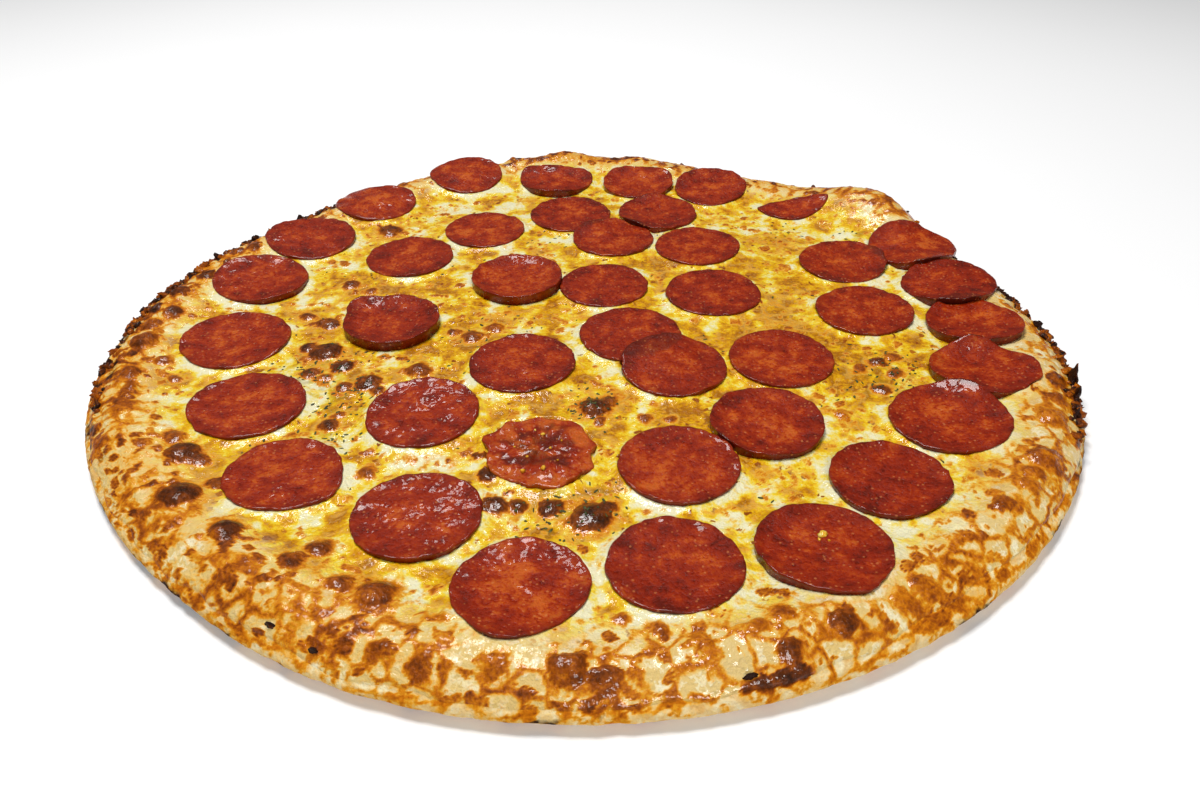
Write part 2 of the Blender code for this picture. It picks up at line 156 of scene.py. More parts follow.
def swells(x, y, width, seed=0):
    """Smooth random swells about 0, most within 1 of it, that are about `width` across."""
    u, v = x / width + 37.31 * seed, y / width + 11.93 * seed
    i, j = np.floor(u).astype(int), np.floor(v).astype(int)
    fu, fv = u - i, v - j

    def corner(di, dj):
        slope = SLOPES[(i + di) % TABLE, (j + dj) % TABLE]
        return slope[..., 0] * (fu - di) + slope[..., 1] * (fv - dj)

    su, sv = eased(fu), eased(fv)
    near = corner(0, 0) + su * (corner(1, 0) - corner(0, 0))
    far = corner(0, 1) + su * (corner(1, 1) - corner(0, 1))
    return 1.8 * (near + sv * (far - near))


def broken(x, y, width, seed=0, layers=3):
    """Swells on swells, each layer half as wide and half as strong."""
    return sum(swells(x, y, width / 2**n, seed + 3.7 * n) / 2**n for n in range(layers))


def seeds(x, y, width, seed=0):
    """How far the nearest and the second scattered seed are, in grid widths, and the nearest one's own chances."""
    u, v = x / width + 5.17 * seed, y / width + 9.41 * seed
    i, j = np.floor(u).astype(int), np.floor(v).astype(int)
    first = np.full(u.shape, 9.0)
    second = first.copy()
    own = np.zeros(u.shape + (2,))
    for di in (-1, 0, 1):
        for dj in (-1, 0, 1):
            chance = CHANCES[(i + di) % TABLE, (j + dj) % TABLE]
            off = np.hypot(i + di + chance[..., 0] - u, j + dj + chance[..., 1] - v)
            closer = off < first
            second = np.where(closer, first, np.minimum(second, off))
            own[closer] = chance[closer][:, 2:]
            first = np.where(closer, off, first)
    return first, second, own


print("noise ready:", TABLE * TABLE, "slopes")

# %% [markdown]
# ## Reading the solids
#
# A finished piece has to keep the form of the solid that it replaces. A ray that falls on a solid says how
# high it stands there, and a ray that runs outwards says where it ends. A tree of its faces makes that quick.

# %% Rays
HIGH = 60 * MM
DOWN = Vector((0, 0, -1))


def tree_of(points, faces):
    """A tree of faces that rays can be cast at."""
    return BVHTree.FromPolygons([Vector(p) for p in points.tolist()], [list(f) for f in faces])


def solid(name):
    """A solid's points and the tree of its faces."""
    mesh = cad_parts[name].data
    points = np.empty(len(mesh.vertices) * 3)
    mesh.vertices.foreach_get("co", points)
    points = points.reshape(-1, 3)
    return points, tree_of(points, [tuple(face.vertices) for face in mesh.polygons])


def full_turn(steps):
    """Even steps of angle, once round."""
    return np.arange(steps) * 2 * math.pi / steps


def turned_out(out, angles):
    """How far a place lies along x and along y, if it lies so far out at that angle."""
    return out * np.cos(angles), out * np.sin(angles)


def heights(tree, x, y):
    """The top of a surface at each place, and NaN past its edge."""
    found = np.full(x.size, np.nan)
    for row, (a, b) in enumerate(zip(x.ravel().tolist(), y.ravel().tolist())):
        hit = tree.ray_cast(Vector((a, b, HIGH)), DOWN)[0]
        if hit:
            found[row] = hit.z
    return found.reshape(x.shape)


def reach_at(tree, middle, angles, low, high, steps=10):
    """How far a surface reaches from a middle at each angle, by halving."""
    low, high = np.full(angles.shape, low), np.full(angles.shape, high)
    for _ in range(steps):
        half = (low + high) / 2
        dx, dy = turned_out(half, angles)
        inside = np.isfinite(heights(tree, middle[0] + dx, middle[1] + dy))
        low, high = np.where(inside, half, low), np.where(inside, high, half)
    return low


def blurred_round(values, spread):
    """A closed run of values, smoothed: spread is in steps."""
    taps = np.arange(-int(3 * spread), int(3 * spread) + 1)
    weights = np.exp(-((taps / spread) ** 2) / 2)
    return sum(w * np.roll(values, t, axis=0) for t, w in zip(taps, weights)) / weights.sum()


def at_angles(values, angles):
    """Values stored at even steps from 0 round to 360 degrees, read at any angle."""
    step = (angles % (2 * math.pi)) / (2 * math.pi) * len(values)
    low = np.floor(step).astype(int)
    share = (step - low).reshape(step.shape + (1,) * (values.ndim - 1))
    return values[low % len(values)] * (1 - share) + values[(low + 1) % len(values)] * share


dough_points, dough_tree = solid("dough")
cheese_points, cheese_tree = solid("cheese")
print("dough and cheese solids:", len(dough_points), "and", len(cheese_points), "points")

# %% [markdown]
# ## Meshes from rows of points
#
# Everything here is a skin over a grid of points, so a few helpers do: one numbers the faces between rows,
# one closes the ends of a tube of such rows, and one makes the object and stores values at its points. Such a
# value is what a cook would call how toasted or how oily the cheese is at that place. The materials read it back.

# %% Grids, objects and fields
def grid_faces(rows, columns, closed):
    """Quads between rows of points. A closed grid joins its last column to its first."""
    row = np.arange(rows - 1)[:, None]
    column = np.arange(columns if closed else columns - 1)[None, :]
    after = (column + 1) % columns
    corners = [row * columns + column, row * columns + after, (row + 1) * columns + after, (row + 1) * columns + column]
    return np.stack(corners, axis=-1).reshape(-1, 4)


def closed_tube(rows, columns):
    """The faces of a closed grid, and one face over each of its two ends."""
    first = list(range(columns))
    last = [(rows - 1) * columns + k for k in first]
    return [*grid_faces(rows, columns, closed=True).tolist(), first[::-1], last]


def placed(name, data):
    """A new object in the scene, from a mesh, a light or a camera."""
    made = bpy.data.objects.new(name, data)
    bpy.context.scene.collection.objects.link(made)
    return made


def add_piece(name, points, faces, material, fields=None):
    """A smooth-shaded object with a material, and with fields stored at its points."""
    mesh = bpy.data.meshes.new(name)
    mesh.from_pydata(points.tolist(), [], [list(face) for face in faces])
    mesh.shade_smooth()
    for key, values in (fields or {}).items():
        mesh.attributes.new(key, "FLOAT", "POINT").data.foreach_set("value", values.astype(np.float32).ravel())
    mesh.materials.append(material)
    piece = placed(name, mesh)
    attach(piece, BODY)
    return piece


def as_points(x, y, z):
    """A row of x, y and z for each place."""
    return np.stack([x, y, z], axis=-1).reshape(-1, 3)


def kept_in_box(points):
    """Points moved to just inside the solids' own box."""
    hair = 0.02 * MM
    return np.clip(points, np.array(cad_low) + [hair, hair, 0], np.array(cad_high) - hair)


print("a tube of two rings of four points has", len(closed_tube(2, 4)), "faces")

# %% [markdown]
# ## Baked dough and melted cheese, as materials
#
# Mozzarella is cream white where it stays moist. Oil from the sausage stains it from straw to amber, and
# where it bubbles up the sugars and proteins brown, from gold through orange to nearly black. A colour ramp
# is that scale, and the stored field says how far along it each place is. A little noise of one and of four
# millimetres breaks the edges up, because a field stored at points a millimetre apart is too soft alone.
# Cheese fat and water refract at about 1.45. An oily film gives the small sharp lights, so there is a coat. It
# follows gentle ripples of its own: on the bubbles below it, it would break up into dust.

# %% A baked surface
TOAST_STOPS = (
    (0.10, "#EEC868"), (0.25, "#E4A024"), (0.40, "#C97206"), (0.55, "#964804"), (0.72, "#642C04"), (0.95, "#2E1404"),
)


def baked_surface(name, base, gloss, coat, translucence):
    """What cheese and dough share: a base colour, browned by the field `toast` and blackened by `char`."""
    m = new_material(name)
    place = node(m, "TexCoord", "Object")
    fine = node(m, "TexNoise", options=SIGNED, Vector=place, Scale=1 / (1.2 * MM), Detail=2)
    middling = node(m, "TexNoise", options=SIGNED, Vector=place, Scale=1 / (4.5 * MM), Detail=3)
    # The field toast is browning, and on the cheese's left rim it also holds painted shade in the furrows between the
    # scales.
    toast = node(m, "Attribute", "Fac", {"attribute_name": "toast"})
    toast = node(m, "Math", options=TIMES_PLUS, _0=fine, _1=0.11, _2=toast)
    toast = node(m, "Math", options=TIMES_PLUS, _0=middling, _1=0.12, _2=toast)
    browned = node(m, "ValToRGB", options={"stops": TOAST_STOPS}, Fac=toast)
    cover = node(m, "Math", options=CLAMPED, _0=toast, _1=4.5, _2=-0.3)
    colour = node(m, "Mix", 2, COLOURS, _0=cover, _6=base(m, fine, middling), _7=browned)
    char = node(m, "Attribute", "Fac", {"attribute_name": "char"})
    char = node(m, "Math", options=TIMES_PLUS, _0=middling, _1=0.4, _2=char)
    burnt = node(m, "Math", options=CLAMPED, _0=char, _1=3.0, _2=-1.05)
    colour = node(m, "Mix", 2, COLOURS, _0=burnt, _6=colour, _7="#2B1208")
    wet = node(m, "TexNoise", options=SIGNED, Vector=place, Scale=1 / (2.2 * MM), Detail=2)
    rough = node(m, "Math", options=TIMES_PLUS, _0=wet, _1=0.22, _2=gloss)
    dry = node(m, "Attribute", "Fac", {"attribute_name": "dry"})
    rough = node(m, "Math", options=TIMES_PLUS, _0=dry, _1=0.22, _2=rough)
    film = node(m, "Math", options=TIMES_PLUS, _0=dry, _1=-0.85 * coat, _2=coat)
    bubbles = node(
        m, "TexVoronoi", "Distance", {"feature": "SMOOTH_F1"}, Vector=place, Scale=1 / (1.6 * MM), Smoothness=0.6
    )
    relief = node(m, "Math", options=TIMES_PLUS, _0=bubbles, _1=-0.6, _2=fine)
    bump = node(m, "Bump", Height=relief, Strength=0.5, Distance=0.5 * MM)
    ripples = node(m, "Bump", Height=wet, Strength=0.5, Distance=0.22 * MM)
    shader = node(
        m, "BsdfPrincipled", Base_Color=colour, Roughness=rough, Normal=bump, IOR=1.45, Specular_IOR_Level=0.12,
        Coat_Weight=film, Coat_Roughness=0.06, Coat_Normal=ripples, Subsurface_Weight=translucence,
        Subsurface_Radius=(1.0, 0.55, 0.22), Subsurface_Scale=1.2 * MM,
    )
    node(m, "OutputMaterial", Surface=shader)
    return m


print(len(TOAST_STOPS), "colours from gold to black")

# %% Melted mozzarella
OIL_STOPS = (
    (0.00, "#ECE5BC"), (0.22, "#EBDB86"), (0.38, "#EECD2C"), (0.56, "#E4AE04"), (0.76, "#D08E02"), (0.95, "#A66400"),
)
SPOT_STOPS = ((0.1, "#E2A222"), (0.5, "#CC7E0A"), (0.9, "#8A4204"))


def cheese_base(m, fine, middling):
    """Cream to amber by `oil`, with small golden spots, olive where the herbs lie, and beige towards the rim."""
    oil = node(m, "Attribute", "Fac", {"attribute_name": "oil"})
    oil = node(m, "Math", options=TIMES_PLUS, _0=middling, _1=0.34, _2=oil)
    oil = node(m, "Math", options=TIMES_PLUS, _0=fine, _1=0.18, _2=oil)
    melted = node(m, "ValToRGB", options={"stops": OIL_STOPS}, Fac=oil)
    place = node(m, "TexCoord", "Object")
    wavy = node(m, "TexNoise", "Color", SIGNED, Vector=place, Scale=1 / (3 * MM), Detail=2)
    place = node(m, "VectorMath", options=TIMES_PLUS, _0=wavy, _1=(1.3 * MM, 1.3 * MM, 1.3 * MM), _2=place)
    cells = node(m, "TexVoronoi", "Distance", Vector=place, Scale=1 / (3.8 * MM))
    chances = node(m, "SeparateColor", Color=cells.node.outputs["Color"]).node.outputs
    width = node(m, "Math", options=TIMES_PLUS, _0=chances[0], _1=0.34, _2=0.10)
    inside = node(m, "Math", options={"operation": "SUBTRACT"}, _0=width, _1=cells)
    spot = node(m, "Math", options=CLAMPED, _0=inside, _1=9.0, _2=0.0)
    kept = node(m, "Math", options=CLAMPED, _0=oil, _1=1.6, _2=-0.12)
    kept = node(m, "Math", options=ABOVE, _0=kept, _1=chances[1])
    spot = node(m, "Math", options=TIMES, _0=spot, _1=kept)
    golden = node(m, "ValToRGB", options={"stops": SPOT_STOPS}, Fac=chances[2])
    melted = node(m, "Mix", 2, COLOURS, _0=spot, _6=melted, _7=golden)
    herb = node(m, "Attribute", "Fac", {"attribute_name": "herb"})
    herb = node(m, "Math", options=TIMES_PLUS, _0=middling, _1=0.4, _2=herb)
    stain = node(m, "Math", options=CLAMPED, _0=herb, _1=0.85, _2=-0.38)
    melted = node(m, "Mix", 2, COLOURS, _0=stain, _6=melted, _7="#947A06")
    flour = node(m, "Math", options=TIMES_PLUS, _0=fine, _1=0.6, _2=middling)
    crusty = node(m, "ValToRGB", options={"stops": ((0.0, "#DFBF7A"), (0.3, "#EEE0B4"), (0.7, "#F4ECCC"))}, Fac=flour)
    rim = node(m, "Attribute", "Fac", {"attribute_name": "rim"})
    return node(m, "Mix", 2, COLOURS, _0=rim, _6=melted, _7=crusty)


melted_mozzarella = baked_surface("melted_mozzarella", cheese_base, gloss=0.34, coat=0.6, translucence=0.04)
print("material:", melted_mozzarella.name)

# %% Baked wheat dough
DOUGH_STOPS = ((0.0, "#DCAE66"), (0.35, "#E6C68A"), (0.75, "#EEE0B6"))


def dough_base(m, fine, middling):
    """Pale to golden in soft blotches a few millimetres across."""
    blotches = node(m, "Math", options=TIMES_PLUS, _0=middling, _1=0.8, _2=0.4)
    return node(m, "ValToRGB", options={"stops": DOUGH_STOPS}, Fac=blotches)


baked_dough = baked_surface("baked_wheat_dough", dough_base, gloss=0.56, coat=0.05, translucence=0.05)
print("material:", baked_dough.name)

# %% [markdown]
# ## Smooth maps of the solids
#
# The dough and the cheese are made of flat facets. A map of heights, read every two millimetres and blurred,
# has none. A plain blur would flatten the round rim, so the mean profile is taken off first, only
# the lumps that are left are blurred, and the profile goes back on.

# %% Edges
PROBES = 320
# The edge lies between these distances from the middle.
RIM_SEARCH = (150 * MM, 215 * MM)
probe_angles = full_turn(PROBES)
dough_edge = blurred_round(reach_at(dough_tree, (0, 0), probe_angles, *RIM_SEARCH), 2.5)
cheese_edge = blurred_round(reach_at(cheese_tree, (0, 0), probe_angles, *RIM_SEARCH), 0.7)


def inset_of(x, y, edge=dough_edge):
    """How far inside the crust's edge, or another, each place is."""
    return at_angles(edge, np.arctan2(y, x)) - np.hypot(x, y)


print("the dough reaches", in_mm(dough_edge.mean()), "mm and the cheese", in_mm(cheese_edge.mean()), "mm")

# %% Maps
PITCH, MAP_BLUR = 2 * MM, 3.5 * MM
MAP_TAPS = 5
lattice = np.arange(-212, 213, 2) * MM
lx, ly = np.meshgrid(lattice, lattice)


def blurred_map(values):
    """A map of heights, blurred over its known places alone."""
    taps = np.arange(-MAP_TAPS, MAP_TAPS + 1)
    weights = np.exp(-((taps * PITCH / MAP_BLUR) ** 2) / 2)
    known = np.isfinite(values)
    total, share = np.where(known, values, 0), known.astype(float)
    for axis in (0, 1):
        total = sum(w * np.roll(total, t, axis=axis) for t, w in zip(taps, weights))
        share = sum(w * np.roll(share, t, axis=axis) for t, w in zip(taps, weights))
    return total / np.maximum(share, 1e-4)


def read_map(values, x, y):
    """A map read between its places."""
    u, v = (x - lattice[0]) / PITCH, (y - lattice[0]) / PITCH
    i, j = np.clip(u.astype(int), 0, len(lattice) - 2), np.clip(v.astype(int), 0, len(lattice) - 2)
    fu, fv = u - i, v - j
    near = values[j, i] * (1 - fu) + values[j, i + 1] * fu
    far = values[j + 1, i] * (1 - fu) + values[j + 1, i + 1] * fu
    return near * (1 - fv) + far * fv


dough_map, cheese_map = heights(dough_tree, lx, ly), heights(cheese_tree, lx, ly)
inset_map = inset_of(lx, ly)
known = np.isfinite(dough_map)
# The mean profile has a bin for every millimetre in from the edge, and the cheese is nowhere thicker than this.
BINS, THICKEST = 215, 3.2 * MM
bins = np.clip((inset_map[known] / MM).astype(int), 0, BINS - 1)
profile = np.bincount(bins, dough_map[known], BINS) / np.maximum(np.bincount(bins, minlength=BINS), 1)
profile_at = (np.arange(BINS) + 0.5) * MM
lumps = blurred_map(dough_map - np.interp(inset_map, profile_at, profile))
thick = blurred_map(np.clip(cheese_map - dough_map, 0, THICKEST))


def dough_top(x, y):
    """The dough's height at each place, without facets."""
    return np.interp(inset_of(x, y), profile_at, profile) + read_map(lumps, x, y)


centre = len(lattice) // 2
print("cheese is", in_mm(thick[centre, centre]), "mm thick in the middle")

# %% [markdown]
# ## Where the slices lie
#
# The cheese has to know where the slices are: it stays flat under them, whiter beside them, and where a slice
# lies flat it climbs a little up its edge, as melted cheese does. So their outlines are read first. A real slice is
# cut round, and the heat draws it a little out of round, which the solids already have.

# %% Slice outlines
SLICE_COUNT = 41
OUTLINE_STEPS = 96
# A slice's edge lies between the first two distances from its middle. Only places within the third are tested.
SLICE_SEARCH, SLICE_NEAR = (3 * MM, 32 * MM), 45 * MM
outline_angles = full_turn(OUTLINE_STEPS)


def read_slice(number):
    """A slice's middle, its outline, and how far its edge stands above the cheese all round."""
    points, tree = solid(f"pepperoni_{number:02d}")
    middle = (points[:, :2].max(axis=0) + points[:, :2].min(axis=0)) / 2
    reach = blurred_round(reach_at(tree, middle, outline_angles, *SLICE_SEARCH), 1.5)
    dx, dy = turned_out(0.95 * reach, outline_angles)
    ex, ey = middle[0] + dx, middle[1] + dy
    stands = heights(tree, ex, ey) - dough_top(ex, ey) - read_map(thick, ex, ey)
    stands = blurred_round(np.nan_to_num(stands, nan=3 * MM), 2)
    return {"number": number, "tree": tree, "middle": middle, "reach": reach, "stands": stands}


slices = [read_slice(number) for number in range(1, SLICE_COUNT + 1)]
print("slices are", in_mm(2 * np.mean([s["reach"].mean() for s in slices])), "mm across on average")
print("their edges stand", in_mm(np.median([s["stands"] for s in slices])), "mm above the cheese")


# %% Distance to the slices
def from_slices(x, y):
    """How far each place is outside the nearest slice's edge, below 0 under it, and how far that edge stands up."""
    nearest, stands = np.full(x.shape, 1.0), np.full(x.shape, 5 * MM)
    for piece in slices:
        dx, dy = x - piece["middle"][0], y - piece["middle"][1]
        close = (np.abs(dx) < SLICE_NEAR) & (np.abs(dy) < SLICE_NEAR)
        angles = np.arctan2(dy[close], dx[close])
        away = np.hypot(dx[close], dy[close]) - at_angles(piece["reach"], angles)
        better = away < nearest[close]
        nearest[close] = np.minimum(nearest[close], away)
        stands[close] = np.where(better, at_angles(piece["stands"], angles), stands[close])
    return nearest, stands


under = from_slices(lx, ly)[0] < 0
print("slices cover", round(100 * under.sum() / known.sum()), "% of the pizza")

# %% [markdown]
# ## Where it browned
#
# One field for toasting, one for char. Blisters that stand out in the picture are placed one by one, each with
# a dark crown and a golden halo. Between them the oven left hundreds of small spots and, over the rim,
# a lace of orange brown round paler dough. Those are scattered by rule: seeds for spots, swells for lace.

# %% Blisters
# The solids stand on the middle of their outline, and the places below were read from the middle of the round.
OFFSET = np.array([3.15, 0.04])
# Each is x, y, width and darkness: millimetres, and 1 for nearly black.
BLISTERS = (
    (-112, -22, 14, .85), (-121, -18, 7, .8), (-115, -38, 8, .75), (-103, -33, 8, .8), (-108, -41, 6, .7),
    (-90, -45, 10, .8), (-85, -51, 6, .75), (-99, -48, 6, .75), (-71, -36, 10, .7), (-97, -67, 5, .6),
    (-99, -74, 8, .75), (-78, -102, 6, .6), (-35, -104, 8, .8), (-39, -93, 6, .8), (-32, -120, 9, .8),
    (-24, -120, 7, .75), (-13, -121, 9, .8), (1, -126, 14, .85), (7, -121, 7, .75), (2, -64, 12, .8),
    (8, -60, 8, .75), (4, -73, 5, .65), (31, -72, 5, .65), (22, -71, 5, .6), (-51, -10, 9, .7), (-42, -3, 8, .65),
    (-60, -6, 7, .65), (-128, 8, 7, .7), (-117, 2, 9, .75), (-107, 97, 12, .75), (-115, 38, 8, .7),
    (-104, 32, 6, .6), (-116, -136, 11, .85), (-137, -118, 13, .85), (-128, -110, 8, .7), (-146, -93, 12, .8),
    (-139, -97, 7, .7), (-152, -84, 8, .65), (-168, -44, 6, .65), (-189, -20, 11, .7), (-185, -45, 9, .7),
    (-181, -55, 8, .65), (-176, -32, 8, .6), (-179, -70, 7, .6), (-85, -142, 8, .7), (-92, -150, 8, .65),
    (-63, -162, 12, .65), (-58, -184, 7, .65), (-46, -189, 8, .7), (-25, -190, 7, .6), (-5, -191, 11, .8),
    (5, -194, 9, .75), (44, -196, 6, .9), (49, -195, 7, .95), (54, -193, 7, .95), (59, -191, 6, .9),
    (56, -186, 8, .7), (102, -174, 6, .7), (110, -167, 7, .65),
    (130, -156, 6, .7), (143, -145, 6, .7), (73, -176, 8, .85), (56, -173, 7, .6), (48, -178, 6, .55),
    (100, -162, 9, .65), (92, -166, 7, .6), (96, -170, 6, .65), (87, -176, 5, .7), (160, -105, 12, .75),
    (152, -112, 8, .7), (137, -127, 8, .75), (148, -118, 8, .65), (172, -80, 10, .6), (180, -68, 8, .6),
    (117, -54, 7, .75), (120, -34, 8, .7), (127, -30, 6, .6), (112, -38, 6, .6), (97, -70, 6, .5),
    (125, -42, 7, .6), (-175, 52, 9, .85), (-184, 40, 9, .9), (-190, 22, 9, .85), (-178, 66, 8, .8),
    (-186, 4, 8, .75), (-170, 70, 8, .8), (-163, 78, 8, .75), (-168, 58, 7, .7), (-196, 8, 8, .85),
    (-192, -6, 8, .7), (184, -55, 9, .75), (190, -62, 10, .85), (178, -90, 8, .65), (165, -122, 8, .65),
    (-40, -170, 7, .55), (-74, -158, 8, .65), (20, -176, 6, .55), (32, -183, 7, .6), (10, -172, 5, .5),
    (-30, -178, 6, .55),
)


def blister_fields(x, y, rim):
    """How browned the blisters make each place, how high they stand, in metres, and the stain round them."""
    toast, rise, stain = np.zeros_like(x), np.zeros_like(x), np.zeros_like(x)
    wx = x + 1.0 * MM * swells(x, y, 7 * MM, 1) + 0.4 * MM * swells(x, y, 2.6 * MM, 2)
    wy = y + 1.0 * MM * swells(x, y, 7 * MM, 3) + 0.4 * MM * swells(x, y, 2.6 * MM, 4)
    patchy = broken(x, y, 5 * MM, 9) - 0.5 * rim
    for bx, by, width, dark in BLISTERS:
        dx, dy = wx - (bx + OFFSET[0]) * MM, wy - (by + OFFSET[1]) * MM
        close = (np.abs(dx) < 1.5 * width * MM) & (np.abs(dy) < 1.5 * width * MM)
        off = np.hypot(dx[close], dy[close]) / (width * MM / 2)
        crown = (dark + 0.05 - 0.10 * rim[close]) * (1 - 0.16 * off**2) * (0.90 + 0.16 * patchy[close])
        halo = 0.42 * np.clip((1.8 - off) / 0.8, 0, 1) * eased((patchy[close] + 0.9) / 0.9)
        stain[close] = np.maximum(stain[close], dark * np.clip(1.5 - off / 2, 0, 1))
        toast[close] = np.maximum(toast[close], np.where(off < 1, crown, np.minimum(halo, crown)))
        tall = min(0.16 * width, 1.8) * MM
        rise[close] = np.maximum(rise[close], tall * domed(off) ** 0.7)
    return toast, rise, stain


print(len(BLISTERS), "blisters placed by eye")

# %% [markdown]
# ## Stains by place
#
# Oil gathers where the cheese sinks, mostly in the middle of the pizza, and dried herbs were thrown
# in a few pinches. Each pinch is a soft round stain, read off the picture: a place, a radius and a strength.

# %% Oil and herbs
# Each is x, y and radius in millimetres, and a strength, below 0 where the cheese is paler.
OIL_PATCHES = (
    (60, 0, 48, .30), (95, -18, 30, .25), (40, -62, 34, .25), (-20, -62, 26, .15), (-8, -104, 34, .20),
    (-100, 30, 34, .12), (-50, 12, 36, .15), (0, 62, 45, .15), (80, 55, 36, .20), (105, 30, 26, .15),
    (-60, -20, 30, .15), (-125, 60, 26, .12), (118, -50, 30, .20), (50, 140, 26, .15), (90, 130, 26, .15),
    (0, 140, 40, .10), (-120, -95, 22, .12), (60, -115, 26, .05), (-110, 100, 34, .10), (0, -150, 60, -.12),
    (110, -110, 34, -.12), (-100, -130, 30, -.05), (150, 0, 40, -.08), (-40, 100, 30, -.10), (30, 100, 26, -.08),
    (-150, 0, 30, -.10),
)
HERB_PATCHES = (
    (-112, -40, 22, .8), (-96, -82, 11, .6), (-5, -124, 22, .65), (0, -62, 15, .6), (120, -45, 22, .65),
    (-45, -10, 18, .5), (-100, 50, 12, .4), (140, 84, 9, .6), (104, 96, 13, .3), (-20, 95, 12, .25),
    (-125, -85, 10, .45), (-116, -135, 10, .3), (-35, 60, 12, .3), (-80, 60, 12, .3), (30, 98, 10, .25),
    (-95, -57, 13, .7),
)


def patches(x, y, rows):
    """How strongly a table's soft round stains lie at each place."""
    total = np.zeros_like(x)
    for px, py, radius, strength in rows:
        off = np.hypot(x - (px + OFFSET[0]) * MM, y - (py + OFFSET[1]) * MM) / (radius * MM)
        total += strength * np.exp(-(off**2))
    return total


print(len(OIL_PATCHES), "oil stains,", len(HERB_PATCHES), "pinches of herbs")


# %% Spots and lace by rule
def towards(angle, degrees, sharpness):
    """1 where a place lies in that direction from the middle, falling to 0 on both sides."""
    return np.clip(np.cos(angle - math.radians(degrees)), 0, 1) ** sharpness


def spot_fields(x, y, rim, left):
    """Browning and rise of the spots, rings and lace that the oven scattered."""
    wx, wy = x + 2.2 * MM * swells(x, y, 11 * MM, 7), y + 2.2 * MM * swells(x, y, 11 * MM, 8)
    wx, wy = wx + 0.7 * MM * swells(x, y, 3 * MM, 5), wy + 0.7 * MM * swells(x, y, 3 * MM, 6)
    first, second = seeds(wx, wy, 9 * MM, 11)[:2]
    patchy = 0.5 + 0.5 * broken(x, y, 36 * MM, 10)
    border = eased(1 - (second - first) / (0.22 + 0.30 * patchy))
    lace = border * (0.35 + 0.35 * rim) * eased((patchy + 0.25 * rim - 0.30) / 0.4)
    blob, _, trait = seeds(wx, wy, 6.2 * MM, 13)
    off = blob / (0.22 + 0.26 * trait[..., 0])
    kept = trait[..., 1] < 0.18 + 0.28 * rim + 0.22 * left
    dome = np.where(kept, domed(off), 0)
    ring = np.where(kept, np.exp(-(((off - 0.8) / 0.2) ** 2)), 0)
    own_toast = 0.30 + 0.30 * CHANCES[(1000 * trait[..., 1]).astype(int) % TABLE, 0, 0]
    spots = np.maximum(own_toast * np.sqrt(dome), (own_toast + 0.06) * ring)
    dot, _, chance = seeds(wx, wy, 4 * MM, 12)
    crowd = 0.16 + 0.22 * patchy
    dots = np.where(chance[..., 1] < crowd, domed(dot / (0.2 + 0.26 * chance[..., 0])), 0)
    toast = np.maximum(np.maximum(0.62 * lace, spots), 0.45 * np.sqrt(dots))
    rise = 0.42 * MM * dome**0.7 + 0.22 * MM * dots + 0.30 * MM * lace
    return toast, rise, wx, wy, patchy


browned = spot_fields(lx, ly, 0, 0)[0] > 0.2
print("spots and lace brown", round(100 * float(browned.mean())), "% of the cheese")

# %% Unrolling the side
PATTERN_LEVEL = 9 * MM


def unrolled(x, y, z):
    """Places on the side, moved out as far as they lie below the rim's top, so that patterns keep their size there."""
    out = np.hypot(x, y)
    on_side = eased((16 * MM - at_angles(cheese_edge, np.arctan2(y, x)) + out) / (8 * MM))
    share = 1 + np.clip(PATTERN_LEVEL - z, 0, 1) * on_side / np.maximum(out, 1 * MM)
    return x * share, y * share


print("the rim's patterns unroll below", in_mm(PATTERN_LEVEL), "mm")


